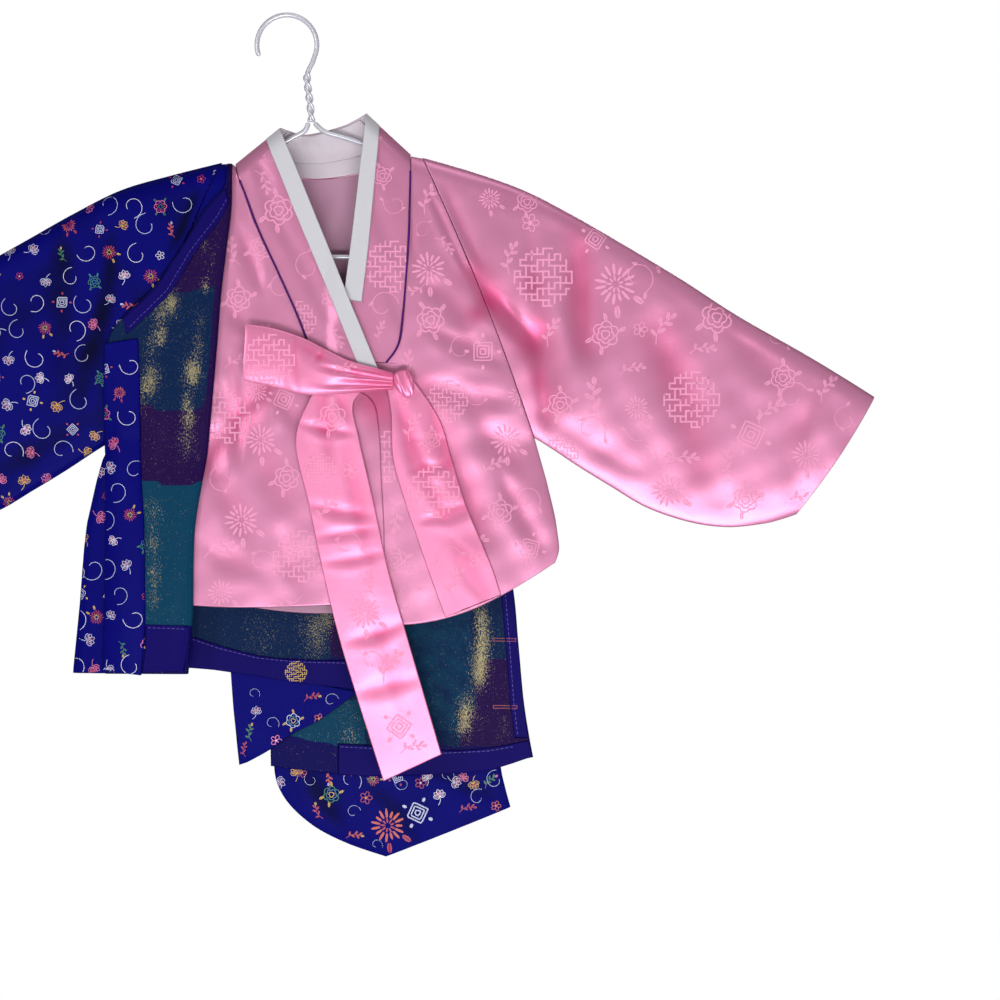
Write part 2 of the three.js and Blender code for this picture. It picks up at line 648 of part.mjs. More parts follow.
// Half depth of the coat where it wraps the jacket. It meets itself at its shoulder and side seams.
function coatDepth(x, z, column) {
  const atSide = mix(1, ease((x - coatSide(z)) / COAT_EASE), belowUnderarm(z))
  const atTop = ease((shoulderTop(x) + COAT_EASE - z) / COAT_EASE)
  return bodyDepth(x, z, column) + COAT_LIFT * atSide * atTop
}
const coatBackY = (x, z) => coatDepth(x, z, 'back')
const behindBackY = (x, z) => coatBackY(x, z) + LAYER - CLOTH + SEAM

// ---------------------------------------------------------------- overcoat: left front
// The front covers the jacket's left side, folds forward at `fold` and lies back over itself as a
// broad lapel with its lining showing, as far as `free`.
const COAT_FRONT = table(
  ['z', 'fold', 'free'],
  [-118, -42.6, -46.6],
  [-137, -42.4, -48],
  [-157, -42.9, -65],
  [-190, -47, -86],
  [-219, -50.5, -106],
  [-241, -52.4, -129],
  [-262, -54, -141],
  [-308, -58, -143],
  [-348, -62, -143],
  [-374, -66.4, -142],
  [-404, -71.4, -141],
  [-434, -73, -141],
  [-480, -73.6, -142],
  [-524, -77, -143],
)
const FOLD_RADIUS = 1.9 // of the cloth's middle, round the fold
const lapelY = (x, z) => -coatDepth(x, z, 'belly') - 2 * FOLD_RADIUS

// A point across the folded front: u below 1 is the layer on the jacket, 1 to 2 the fold and
// above 2 the lapel. `through` is +1 on the lining's face and -1 on the brocade's.
function coatFrontPoint(u, v, through) {
  const row = section(COAT_FRONT, v)
  const foldMiddle = row.fold - FOLD_RADIUS - CLOTH / 2
  const half = (through * CLOTH) / 2
  const underY = (x) => -coatDepth(x, row.z, 'belly') + CLOTH / 2
  if (u <= 1) {
    const x = mix(coatSide(row.z), foldMiddle, u)
    return [x, underY(x) + half, row.z]
  }
  if (u < 2) {
    const angle = Math.PI * (1.5 - u)
    const reach = FOLD_RADIUS + half
    const y = underY(foldMiddle) - FOLD_RADIUS + reach * Math.sin(angle)
    return [foldMiddle + reach * Math.cos(angle), y, row.z]
  }
  const x = mix(foldMiddle, Math.min(row.free, foldMiddle - 0.8), u - 2)
  return [x, underY(x) - 2 * FOLD_RADIUS - half, row.z]
}
const FRONT_LAYER = closerAtEnds(8)
const FRONT_FOLD = [1.25, 1.5, 1.75]
const FRONT_LAPEL = even(6).map((t) => 2 + t)
const coatFront = () => {
  const face = (through) => (u, v) => coatFrontPoint(u, v, through)
  return wall([...FRONT_LAYER, ...FRONT_FOLD, ...FRONT_LAPEL], closerAtTop(17), face(1), face(-1))
}
add('coat_front_left', 'lining', coatFront())

// The lapel's free edge rolls forward again, so that a strip of brocade shows.
const ROLL = table(
  ['ax', 'az', 'bx', 'bz', 'bulge'],
  [-143.6, -262, -117, -258, 1.5],
  [-144.4, -308, -115.6, -308, 3],
  [-144.2, -360, -115, -360, 4],
  [-143.4, -404, -112.4, -404, 4],
  [-143.6, -450, -111.6, -450, 4],
  [-144.6, -486, -111.6, -486, 3.5],
  [-145.4, -521, -114.6, -525, 3],
)
const rollY = (x, z, row, u) => lapelY(x, z) - LAYER - 0.2 - row.bulge * Math.sin(Math.PI * u) ** 0.8
const roll = {
  rows: ROLL,
  across: even(6),
  down: even(12),
  depth: (x, z, row, u) => rollY(x, z, row, u),
}
add('coat_front_edge', 'brocade', panel(roll))

// Facings are sewn to the lining along the neckline and the hem.
const FACING = 1 // thickness
const onLapelY = (x, z) => lapelY(x, z) - FACING - 0.4
const NECK_FACING = table(
  ['ax', 'az', 'bx', 'bz'],
  [-47, -139.5, -44.8, -150],
  [-63.4, -157.6, -52, -164],
  [-84.6, -190.8, -73, -191.4],
  [-103, -218, -92, -222],
  [-128.6, -242, -126, -254],
)
const neckline = { rows: NECK_FACING, across: even(2), down: even(10), depth: onLapelY, thick: FACING }
add('coat_facing_neck', 'brocade', panel(neckline))
const HEM_FACING_LEFT = table(
  ['ax', 'az', 'bx', 'bz'],
  [-110.6, -485, -76.4, -486],
  [-110.8, -500, -77, -500],
  [-113.4, -522.6, -81, -521.6],
)
const hemLeft = { rows: HEM_FACING_LEFT, across: even(3), down: even(4), depth: onLapelY, thick: FACING }
add('coat_facing_hem_left', 'violet', panel(hemLeft))

// ---------------------------------------------------------------- overcoat: left sleeve
// It lies over the jacket's left sleeve, 3 mm outside its edges, and reaches past its cuff.
const CUFF_EASE = 5
const coatSleeveRows = SLEEVE_LEFT.map((row, i) => {
  const share = i / (SLEEVE_LEFT.length - 1)
  return { ...row, ax: row.ax - CUFF_EASE * share, bx: row.bx - CUFF_EASE * share }
})
function coatSleeve(side) {
  const face = (through) => (u, v) => {
    const row = section(coatSleeveRows, v)
    const beyond = COAT_EASE / Math.hypot(row.ax - row.bx, row.az - row.bz)
    const [x, y, z] = sleevePoint(SLEEVE_LEFT, side, clamp(u), v)
    const reach = mix(0, CUFF_EASE, v)
    const slide = u < 0 ? -beyond : u > 1 ? beyond : 0
    const lift = slide === 0 ? COAT_LIFT : 0
    const moved = [x - reach + slide * (row.bx - row.ax), z + slide * (row.bz - row.az)]
    return [moved[0], y + side * (lift - through * CLOTH), moved[1]]
  }
  return wall([-1, ...SLEEVE_ACROSS, 2], SLEEVE_DOWN, face(0), face(1))
}
add('coat_sleeve_left_front', 'brocade', coatSleeve(-1))
add('coat_sleeve_left_back', 'brocade', coatSleeve(1))

// ---------------------------------------------------------------- overcoat: back
// It hangs behind the jacket from the left shoulder, and its right side has slipped down.
const COAT_BACK = table(
  ['az', 'bx', 'bz', 'sag'],
  [-117.4, -46.4, -117, 0],
  [-140, -38, -146, 0],
  [-171, -16, -186, 0],
  [-239, 14, -252, 0],
  [-300, 27, -310, 0],
  [-345, 36, -350, 0],
  [-425, 50, -430, 0],
  [-470, 57, -490, -2],
  [-517, 62, -541, -6],
)
const coatBack = {
  rows: COAT_BACK,
  across: [0, 0.015, ...even(8).slice(1)],
  down: closerAtTop(15),
  depth: coatBackY,
  into: -1,
  fit: (row) => ({ ...row, ax: coatSide(row.az) }),
}
add('coat_back', 'lining', panel(coatBack))
const HEM_FACING_BACK = table(
  ['ax', 'az', 'bx', 'bz'],
  [-82, -494, -82, -519],
  [-55, -503, -55, -523],
  [-25, -511, -25, -527.4],
  [6, -514.4, 6, -532.6],
  [56, -515.4, 58, -538.4],
)
const hemBack = {
  rows: HEM_FACING_BACK,
  across: even(2),
  down: even(8),
  depth: (x, z) => coatBackY(x, z) - CLOTH - FACING - 0.4,
  thick: FACING,
}
add('coat_facing_hem_back', 'violet', panel(hemBack))

// A corner of the hem is turned over and shows its brocade.
const FLAP = table(
  ['ax', 'az', 'bx', 'bz', 'sag'],
  [-46, -524.6, 56, -540.6, -0.9],
  [-44, -552, 26, -562.4, 0],
  [-42, -571.6, 4, -574, 0],
  [-40.6, -586, -16, -587.6, 0],
  [-39.2, -598.8, -33, -597, 0],
)
const flap = { rows: FLAP, across: even(4), down: even(6), depth: coatBackY, into: -1 }
add('coat_flap', 'brocade', panel(flap))

// ---------------------------------------------------------------- overcoat: right front
// It hangs inside out behind the back's edge.
const COAT_RIGHT = table(
  ['ax', 'az', 'bx', 'bz', 'sag'],
  [46, -262, 106, -256, 0],
  [36, -300, 130, -292, 0],
  [26, -345, 150, -336, 0],
  [12, -400, 168, -395, 0],
  [-2, -455, 180.4, -454.8, 0],
  [-10, -500, 184.9, -500, 0],
  [-13, -545, 189, -545, 3],
  [-14.2, -575, 193.5, -575, 7],
  [-14, -600, 196.8, -592.4, 12],
)
const coatRightY = (x, z) => behindBackY(x, z)
const coatRight = { rows: COAT_RIGHT, across: even(8), down: even(12), depth: coatRightY }
add('coat_front_right', 'lining', panel(coatRight))
const onRightY = (x, z) => coatRightY(x, z) - FACING - 0.4
const EDGE_FACING = table(
  ['ax', 'az', 'bx', 'bz'],
  [171, -456, 180, -455.6],
  [175, -500, 184.5, -500],
  [178.6, -545, 188.6, -545],
  [182, -577, 193, -577],
)
const edgeFacing = { rows: EDGE_FACING, across: even(1), down: even(6), depth: onRightY, thick: FACING }
add('coat_facing_edge_right', 'violet', panel(edgeFacing))
const HEM_FACING_RIGHT = table(
  ['ax', 'az', 'bx', 'bz'],
  [40, -582.4, 40, -607],
  [64.4, -583.6, 64.4, -608],
  [125.2, -587.4, 125.2, -606],
  [160, -585.4, 162, -602.6],
  [193.4, -579.4, 195.8, -592],
)
const hemRight = { rows: HEM_FACING_RIGHT, across: even(2), down: even(8), depth: onRightY, thick: FACING }
add('coat_facing_hem_right', 'violet', panel(hemRight))

// ---------------------------------------------------------------- overcoat: right sleeve
// It hangs straight down behind the right front, turned right side out. a is its curved seam, b
// its fold, and the last section is the open cuff.
const COAT_SLEEVE_RIGHT = table(
  ['ax', 'az', 'bx', 'bz'],
  [58, -330, 132, -322],
  [34, -400, 152, -385],
  [10, -480, 163, -440],
  [-6, -560, 168, -500],
  [-12, -600, 169, -548],
  [-4, -626, 170, -580],
  [18, -648, 171, -602],
  [46, -663, 174.4, -618],
  [78, -674, 178.6, -633.4],
)
const SLEEVE_HALF = 5 // half depth of the hanging sleeve
const sleeveMiddleY = (x, z) => behindBackY(x, z) + CLOTH + 0.5 + SLEEVE_HALF + SEAM_DEPTH
function hangingSleeve(side) {
  const face = (through) => (u, v) => {
    const row = section(COAT_SLEEVE_RIGHT, v)
    const [x, z] = [mix(row.ax, row.bx, u), mix(row.az, row.bz, u)]
    const half = SEAM_DEPTH + SLEEVE_HALF * Math.sin(Math.PI * u) ** 0.6
    return [x, sleeveMiddleY(x, z) + side * (half - through * CLOTH), z]
  }
  return wall(closerAtEnds(7), even(10), face(0), face(1))
}
add('coat_sleeve_right_front', 'brocade', hangingSleeve(-1))
add('coat_sleeve_right_back', 'brocade', hangingSleeve(1))

export default group
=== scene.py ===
# %% [markdown]
# # A child's Korean dress set on a wire hanger
# The set is a pink satin jacket that closes with a ribbon bow, and a blue brocade overcoat that
# hangs from one shoulder, inside out. The CAD model gives the size and the place of every piece.
# Each cloth is built here again as a thin wall on the same form, with finer creases, and then
# gets its weave, its woven motifs and its stitches.

import math
import random

import bmesh
import bpy
import numpy as np
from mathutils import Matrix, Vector
from mathutils.bvhtree import BVHTree


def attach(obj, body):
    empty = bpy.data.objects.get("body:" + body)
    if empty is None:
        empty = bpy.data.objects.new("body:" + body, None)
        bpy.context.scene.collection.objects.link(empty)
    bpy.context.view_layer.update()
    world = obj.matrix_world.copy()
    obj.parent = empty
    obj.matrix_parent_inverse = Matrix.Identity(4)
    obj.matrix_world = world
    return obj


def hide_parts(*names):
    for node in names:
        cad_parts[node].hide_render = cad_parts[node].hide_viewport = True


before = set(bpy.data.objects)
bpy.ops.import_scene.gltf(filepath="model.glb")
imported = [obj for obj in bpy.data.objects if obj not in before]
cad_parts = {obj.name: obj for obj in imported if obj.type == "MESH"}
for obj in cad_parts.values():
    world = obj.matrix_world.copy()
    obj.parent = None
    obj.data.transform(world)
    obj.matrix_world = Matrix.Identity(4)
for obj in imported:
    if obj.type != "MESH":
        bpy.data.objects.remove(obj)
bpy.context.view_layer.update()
scene = bpy.context.scene

# %% [markdown]
# ## Camera, light and floor
# The camera stands two metres in front of the set with a long lens, so that the hanging cloth
# isn't distorted.

# %% Camera
camera_data = bpy.data.cameras.new("camera")
camera_data.lens = 90
camera_data.sensor_width = 36
camera_data.dof.use_dof = False
camera = bpy.data.objects.new("camera", camera_data)
camera.location = (0.1704, -2.0, -0.386)
camera.rotation_euler = (math.radians(90), 0, 0)
scene.collection.objects.link(camera)
scene.camera = camera
scene.view_settings.view_transform = "Standard"
print("camera at", tuple(round(value, 3) for value in camera.location))

# %% Soft light from a pale room
world = bpy.data.worlds.new("room")
world.use_nodes = True
scene.world = world
nodes, links = world.node_tree.nodes, world.node_tree.links
background = nodes["Background"]
background.inputs["Strength"].default_value = 0.5
# The room is paler below than above, so satin that faces up is duskier.
direction_seen = nodes.new("ShaderNodeTexCoord")
heights = nodes.new("ShaderNodeSeparateXYZ")
links.new(direction_seen.outputs["Generated"], heights.inputs["Vector"])
room_tones = nodes.new("ShaderNodeMapRange")
for label, value in (("From Min", -0.35), ("From Max", 0.45), ("To Min", 1.0), ("To Max", 0.42)):
    room_tones.inputs[label].default_value = value
links.new(heights.outputs["Z"], room_tones.inputs["Value"])
links.new(room_tones.outputs["Result"], background.inputs["Color"])
backdrop = nodes.new("ShaderNodeBackground")
backdrop.inputs["Color"].default_value = (1, 1, 1, 1)
backdrop.inputs["Strength"].default_value = 1.0
light_path = nodes.new("ShaderNodeLightPath")
seen = nodes.new("ShaderNodeMixShader")
links.new(light_path.outputs["Is Camera Ray"], seen.inputs["Fac"])
links.new(background.outputs["Background"], seen.inputs[1])
links.new(backdrop.outputs["Background"], seen.inputs[2])
links.new(seen.outputs["Shader"], nodes["World Output"].inputs["Surface"])

LIGHTS = {  # place, aim, size and power
    "light_low_front": ((0.3, -1.9, -1.12), (0.2, 0, -0.42), (1.5, 0.45), 34),
    "light_left": ((-1.3, -1.7, 0.15), (0.05, 0, -0.35), (0.5, 0.9), 12),
    "light_top": ((0.3, -0.9, 1.5), (0.1, 0, -0.3), (1.2, 0.8), 7),
    "light_behind": ((0.2, 2.2, 0.3), (0.1, 0, -0.35), (1.4, 1.4), 22),
}
for name, (place, aim, size, power) in LIGHTS.items():
    light_data = bpy.data.lights.new(name, "AREA")
    light_data.shape = "RECTANGLE"
    light_data.size, light_data.size_y = size
    light_data.energy = power
    light = bpy.data.objects.new(name, light_data)
    light.location = place
    direction = Vector(aim) - Vector(place)
    light.rotation_euler = direction.to_track_quat("-Z", "Y").to_euler()
    scene.collection.objects.link(light)

# %% Floor
FLOOR_RADIUS, FLOOR_Z = 1.6, -1.3
around = np.linspace(0, 2 * np.pi, 96, endpoint=False)
floor_mesh = bpy.data.meshes.new("floor")
rim = np.stack([np.cos(around), np.sin(around), 0 * around], -1) * FLOOR_RADIUS
floor_mesh.from_pydata(rim + (0, 0, FLOOR_Z), [], [range(len(rim))])
floor = bpy.data.objects.new("floor", floor_mesh)
scene.collection.objects.link(floor)
floor_paint = bpy.data.materials.new("floor_paint")
floor_paint.use_nodes = True
paint_shader = floor_paint.node_tree.nodes["Principled BSDF"]
paint_shader.inputs["Base Color"].default_value = (0.8, 0.8, 0.8, 1)
floor_mesh.materials.append(floor_paint)
print("lights:", len(LIGHTS))

# %% [markdown]
# ## Tables and walls
# The model works in millimetres. A table has named columns and a row for each section of a piece.
# `section` runs a smooth curve through the rows, and `lookup` reads a column straight between them.

# %% Table helpers
MM = 0.001


def table(columns, *rows):
    data = np.array(rows, float)
    return {column: data[:, i] for i, column in enumerate(columns.split())}


def mix(start, end, share):
    return start + (end - start) * share


def clamp(share):
    return np.clip(share, 0, 1)


def ease(share):
    return clamp(share) ** 2 * (3 - 2 * clamp(share))


def quarter_round(share):
    return np.sqrt(1 - (1 - clamp(share)) ** 2)


def section(rows, share):
    """Every column of a table at a share of the way down it, smoothed."""
    last = len(next(iter(rows.values()))) - 1
    place = clamp(np.asarray(share, float)) * last
    first = np.minimum(last - 1, np.floor(place)).astype(int)
    t = place - first
    around = [np.clip(first + step, 0, last) for step in (-1, 0, 1, 2)]
    result = {}
    for column, values in rows.items():
        before, start, end, after = (values[i] for i in around)
        slope_in, slope_out = (end - before) / 2, (after - start) / 2
        a = 2 * start - 2 * end + slope_in + slope_out
        b = -3 * start + 3 * end - 2 * slope_in - slope_out
        result[column] = ((a * t + b) * t + slope_in) * t + start
    return result


def lookup(rows, key, column, at):
    """A column at given values of the key column, straight between the rows."""
    keys, values = rows[key], rows[column]
    order = slice(None) if keys[-1] > keys[0] else slice(None, None, -1)
    return np.interp(at, keys[order], values[order])


def even(count):
    return np.linspace(0, 1, count + 1)


def with_edges(shares, edge=0.006):
    """Adds a share close to both ends, which keeps the cloth's rounded edge narrow."""
    return np.unique(np.concatenate([shares, [edge, 1 - edge]]))


def edged(count, edge=0.006):
    return with_edges(even(count), edge)


def closer_at_top(count):
    return with_edges(even(count) ** 1.25)


# %% [markdown]
# A wall is a face and a back, both a grid of points, joined round their edges by a third, middle
# line so that the edge of the cloth is round. Its UV map is in metres of cloth, and the face and
# the back may have a material of their own; the edge takes the face's.

# %% Wall helpers
CLOTH = 1.2  # thickness of every cloth wall
EDGE_ROUND = 0.3  # how far the faces' edges lie inside the round edge
EDGE_OUT = 0.26  # how far the middle of the round edge stands out, which closes the seams
PIECES = {}


def build_mesh(name, points, polygons, smooth=True):
    """A mesh object from points in millimetres."""
    mesh = bpy.data.meshes.new(name)
    points = np.asarray(points, np.float32) * MM
    loops = np.concatenate([np.asarray(group, np.int32).ravel() for group in polygons])
    sizes = np.concatenate(
        [np.full(len(group), np.asarray(group).shape[1], np.int32) for group in polygons]
    )
    mesh.vertices.add(len(points))
    mesh.vertices.foreach_set("co", points.ravel())
    mesh.loops.add(len(loops))
    mesh.loops.foreach_set("vertex_index", loops)
    mesh.polygons.add(len(sizes))
    starts = np.concatenate([[0], np.cumsum(sizes)[:-1]]).astype(np.int32)
    mesh.polygons.foreach_set("loop_start", starts)
    mesh.polygons.foreach_set("use_smooth", np.full(len(sizes), smooth))
    mesh.update(calc_edges=True)
    mesh.validate()
    thing = bpy.data.objects.new(name, mesh)
    scene.collection.objects.link(thing)
    PIECES[name] = thing
    return thing


def point_attribute(thing, name, values):
    attribute = thing.data.attributes.new(name, "FLOAT", "POINT")
    attribute.data.foreach_set("value", np.asarray(values, np.float32).ravel())


def lay_uv(thing, per_point):
    """Gives every corner of the mesh the UV of its point, in metres."""
    layer = thing.data.uv_layers.new(name="cloth")
    corners = np.empty(len(thing.data.loops), np.int32)
    thing.data.loops.foreach_get("vertex_index", corners)
    layer.data.foreach_set("uv", (np.asarray(per_point, np.float32) * MM)[corners].ravel())


def signed_volume(points, quads):
    a, b, c, d = (points[quads[:, i]] for i in range(4))
    return np.sum(a * np.cross(b, c)) + np.sum(a * np.cross(c, d))


def shrink_edges(grid, by=EDGE_ROUND):
    """Moves the border of a grid of points inward, along its own rows and columns."""
    moved = grid.copy()
    for border, inside in ((0, 1), (-1, -2)):
        for before, after in ((grid.swapaxes(0, 1), moved.swapaxes(0, 1)), (grid, moved)):
            step = before[inside] - before[border]
            step /= np.maximum(np.linalg.norm(step, axis=1, keepdims=True), 1e-6)
            after[border] += by * step
    return moved


def run_along(line):
    """The distance along a line from its first point to each of them."""
    return np.concatenate([[0], np.cumsum(np.linalg.norm(np.diff(line, axis=0), axis=1))])


def wall(name, face, back, fold=None):
    """A closed wall of cloth. `fold` says how deep in a fold each point lies, 0 to 1: the amount of
    painted shade in its colour.
    """
    rows, columns = face.shape[:2]
    middle = shrink_edges((face + back) / 2, -EDGE_OUT)
    front_grid, back_grid = shrink_edges(face), shrink_edges(back)
    index = np.arange(rows * columns).reshape(rows, columns)
    ring = np.concatenate([index[0, :-1], index[:-1, -1], index[-1, :0:-1], index[:0:-1, 0]])
    points = np.concatenate(
        [front_grid.reshape(-1, 3), back_grid.reshape(-1, 3), middle.reshape(-1, 3)[ring]]
    )
    quads = np.stack([index[:-1, :-1], index[:-1, 1:], index[1:, 1:], index[1:, :-1]], -1)
    front_quads = quads.reshape(-1, 4)
    total = rows * columns
    back_quads = front_quads[:, ::-1] + total
    count = len(ring)
    edge = 2 * total + np.arange(count)
    after, edge_after = np.roll(ring, -1), np.roll(edge, -1)
    front_rim = np.stack([ring, edge, edge_after, after], -1)
    back_rim = np.stack([edge, ring + total, after + total, edge_after], -1)
    everything = np.concatenate([front_quads, back_quads, front_rim, back_rim])
    if signed_volume(points, everything) < 0:
        everything = everything[:, ::-1]
    thing = build_mesh(name + "_cloth", points, [everything])
    steps_u = np.linalg.norm(np.diff(face, axis=1), axis=2).mean(0)
    steps_v = np.linalg.norm(np.diff(face, axis=0), axis=2).mean(1)
    along_u = np.concatenate([[0], np.cumsum(steps_u)])
    along_v = np.concatenate([[0], np.cumsum(steps_v)])
    grid_uv = np.stack(np.meshgrid(along_u, along_v), -1).reshape(-1, 2)
    lay_uv(thing, np.concatenate([grid_uv, grid_uv, grid_uv[ring]]))
    depth = np.zeros(total) if fold is None else np.clip(fold, 0, 1).ravel()
    point_attribute(thing, "fold", np.concatenate([depth, depth, depth[ring]]))
    thing["face_quads"] = len(front_quads)


def sided_wall(name, x, y, z, side, fold=None):
    """A wall whose face looks forward (side -1) or to the rear (side 1)."""
    face = np.stack([x, y, z], -1)
    wall(name, face, face - np.array([0, side * CLOTH, 0]), fold)


def panel(name, rows, across, down, depth, into=1, thick=CLOTH, fit=None, fold=None):
    """A wall between the edges a and b of a table's sections. depth(x, z, row, u, v) is its Y."""
    u, v = np.meshgrid(across, down)
    row = section(rows, v)
    if fit:
        row = fit(row)
    x = mix(row["ax"], row["bx"], u)
    z = mix(row["az"], row["bz"], u)
    if "sag" in row:
        z = z - row["sag"] * np.sin(np.pi * u ** row.get("skew", 1))
    y = depth(x, z, row, u, v)
    face = np.stack([x, y, z], -1)
    back = np.stack([x, y + into * thick, z], -1)
    wall(name, face, back, fold(x, z) if fold else None)


# %% [markdown]
# ## The jacket's form
# The same sizes as in the CAD: the armholes, how far the belly and the back stand out, the height
# of the shoulder fold, and the large folds of the satin.

# %% Form of the jacket
SEAM = 0.3
LAYER = CLOTH + 0.4
SEAM_DEPTH = CLOTH + SEAM / 2
MIDDLE_X = 29.2
ARM_TOP = (108.3, -112.2)
ARM_LOW = (197.7, -336.3)
ARM_BOW = 4
LEFT_SHOULDER_Z = -119.3
ARM_DEPTH = 8
SHOULDER_ROUND = 16

BODY = table(
    "z right belly back",
    (-112.2, 108.3, 12, 10), (-336.3, 197.7, 12, 9), (-371, 207.5, 12, 9), (-405, 215.2, 12, 9),
    (-425, 217.5, 12, 9), (-470, 221, 12, 9), (-520, 226, 12, 9), (-660, 232, 12, 9),
)
SHOULDER = table(
    "x top",
    (-420, -306), (-311, -241), (-209, -183), (-169, -160), (-129.4, -140), (-92, -129.3),
    (-52, -119.3), (-41, -116.8), (-5.8, -88), (10, -80), (46, -76), (63.6, -76.6),
    (99.2, -109.4), (108.3, -112.2), (150, -124.2), (190, -138.6), (227.4, -157.7),
    (267.2, -180.6), (314.4, -209), (360, -238.5), (413.4, -269), (469.5, -303.4),
)
TROUGHS = table(
    "from_x from_z to_x to_z width depth",
    (-17, -298, -62, -353, 13, 3.2), (150, -204, 192, -262, 13, 3.4),
    (231, -160, 238, -262, 12, 2.6), (196, -256, 207, -326, 10, 2.4), (112, -300, 150, -410, 15, 2),
    (-90, -190, -128, -290, 14, 2.6), (-172, -165, -181, -262, 12, 2.4),
    (300, -250, 330, -360, 16, 1.8), (-242, -255, -270, -350, 16, 1.8),
)


def each_row(rows):
    return (dict(zip(rows, values)) for values in zip(*rows.values()))


def troughs(x, z):
    """Depth of the large folds, as in the CAD."""
    depth = np.zeros(np.shape(x))
    for fold in each_row(TROUGHS):
        run_x, run_z = fold["to_x"] - fold["from_x"], fold["to_z"] - fold["from_z"]
        along = (x - fold["from_x"]) * run_x + (z - fold["from_z"]) * run_z
        along = clamp(along / (run_x**2 + run_z**2))
        near_x, near_z = fold["from_x"] + along * run_x, fold["from_z"] + along * run_z
        away = np.hypot(x - near_x, z - near_z) / fold["width"]
        depth += fold["depth"] * np.exp(-(away**2))
    return depth


CREASE = "from_x from_z to_x to_z width depth bow"  # the columns of a table of creases


def creases(x, z, rows):
    """Depth of fine creases. Each is a bowed line that is widest and deepest at its middle, with a
    low ridge along one side."""
    depth = np.zeros(np.shape(x))
    for fold in each_row(rows):
        run_x, run_z = fold["to_x"] - fold["from_x"], fold["to_z"] - fold["from_z"]
        length = math.hypot(run_x, run_z)
        from_x, from_z = x - fold["from_x"], z - fold["from_z"]
        along = (from_x * run_x + from_z * run_z) / length**2
        beyond = (along - clamp(along)) * length
        bulge = np.sin(np.pi * clamp(along))
        aside = (from_x * run_z - from_z * run_x) / length - fold["bow"] * bulge
        width = fold["width"] * (0.55 + 0.45 * bulge)
        strength = fold["depth"] * (0.3 + 0.7 * bulge) * np.exp(-((beyond / width) ** 2))
        trough = np.exp(-((aside / width) ** 2))
        ridge = np.exp(-(((aside - 1.7 * width) / width) ** 2))
        depth += strength * (trough - 0.35 * ridge)
    return depth


def shoulder_top(x):
    return lookup(SHOULDER, "x", "top", x)


def arm_share(z):
    return clamp((ARM_TOP[1] - z) / (ARM_TOP[1] - ARM_LOW[1]))


def arm_profile(share):
    return (1 - clamp(share) ** 3) ** 0.6


def shoulder_round(x, z):
    return quarter_round((shoulder_top(x) - z) / SHOULDER_ROUND)


def right_edge(z):
    share = arm_share(z)
    arm = mix(ARM_TOP[0], ARM_LOW[0], share) + ARM_BOW * np.sin(np.pi * share)
    below = lookup({k: values[1:] for k, values in BODY.items()}, "z", "right", z)
    return np.where(z < ARM_LOW[1], below, arm)


def left_edge(z):
    return 2 * MIDDLE_X - right_edge(z)


def body_depth(x, z, column):
    """Half depth of the jacket's body, of its front or its back."""
    share = clamp((x - left_edge(z)) / (right_edge(z) - left_edge(z)))
    inward = np.sin(np.pi * share) ** 0.7
    folded = troughs(x, z) * inward if column == "belly" else 0
    full = mix(ARM_DEPTH * arm_profile(arm_share(z)), lookup(BODY, "z", column, z), inward)
    return SEAM_DEPTH + np.maximum(0, full - folded) * shoulder_round(x, z)


def front_y(x, z):
    return -body_depth(x, z, "belly")


def back_y(x, z):
    return body_depth(x, z, "back")


# %% [markdown]
# The fine creases are placed one by one: where each starts and ends, its half width and depth and
# how far it bows. Satin also has a slow ripple, far too shallow to touch the layer beneath.

# %% Fine creases
CREASES_FRONT = table(
    CREASE,
    (127.2, -136.4, 154.4, -197.2, 5, 1.5, 1), (114.4, -142.8, 141.6, -200.4, 4, 1.2, -1),
    (146.4, -200.4, 186.4, -254, 8, 1.6, 2), (170.4, -226, 194.4, -251.6, 3, 1.2, 1),
    (192.8, -163.6, 206.4, -326, 8, 1.3, -3), (238.4, -170, 236, -266, 13, 1.5, 3),
    (206.4, -226, 220, -310, 8, 1.1, -2), (282.4, -250, 330.4, -338, 18, 1.3, -6),
    (348, -226, 402.4, -294, 15, 1.1, 5), (410.4, -302, 402.4, -362, 12, 0.9, 2),
    (160.8, -138, 206.4, -149.2, 8, 1.1, 2), (250.4, -155.6, 282.4, -195.6, 11, 1, -2),
    (218.4, -322, 282.4, -362, 12, 0.9, 4), (298.4, -186, 330.4, -226, 12, 0.8, 2),
    (426.4, -290, 410.4, -338, 7, 0.7, 1), (92, -146, 102.4, -195.6, 7, 1.2, 1),
    (122.4, -214, 146.4, -254, 9, 1.1, -2), (116, -294, 178.4, -307.6, 9, 1.1, 3),
    (146.4, -306, 188, -362, 11, 1.4, 3), (114.4, -250, 168.8, -275.6, 8, 1.1, -2),
    (170.4, -362, 204, -424.4, 8, 1.2, 2), (134.4, -346, 156, -422, 9, 1, -2),
    (110.4, -210, 122.4, -226, 6, 0.8, 0), (-20, -138, 8.8, -195.6, 7, 1.1, 2),
    (-37.6, -170, -20, -218, 7, 1.2, -1), (-47.2, -226, -29.6, -251.6, 7, 0.9, 1),
    (-56.8, -290, -40.8, -326, 8, 1.1, 1), (-60, -360.4, -29.6, -418, 11, 1.4, -3),
    (-29.6, -322, 10.4, -402, 13, 1.3, 4), (-4, -410, 12, -459.6, 7, 1, 1),
    (-65.6, -422, -20, -443.6, 9, 1.1, 2), (-44, -272.4, -37.6, -370, 6, 1.2, -2),
    (10.4, -226, 18.4, -250, 5, 0.7, 0), (-1.6, -306, 10.4, -330, 6, 0.9, 0),
)
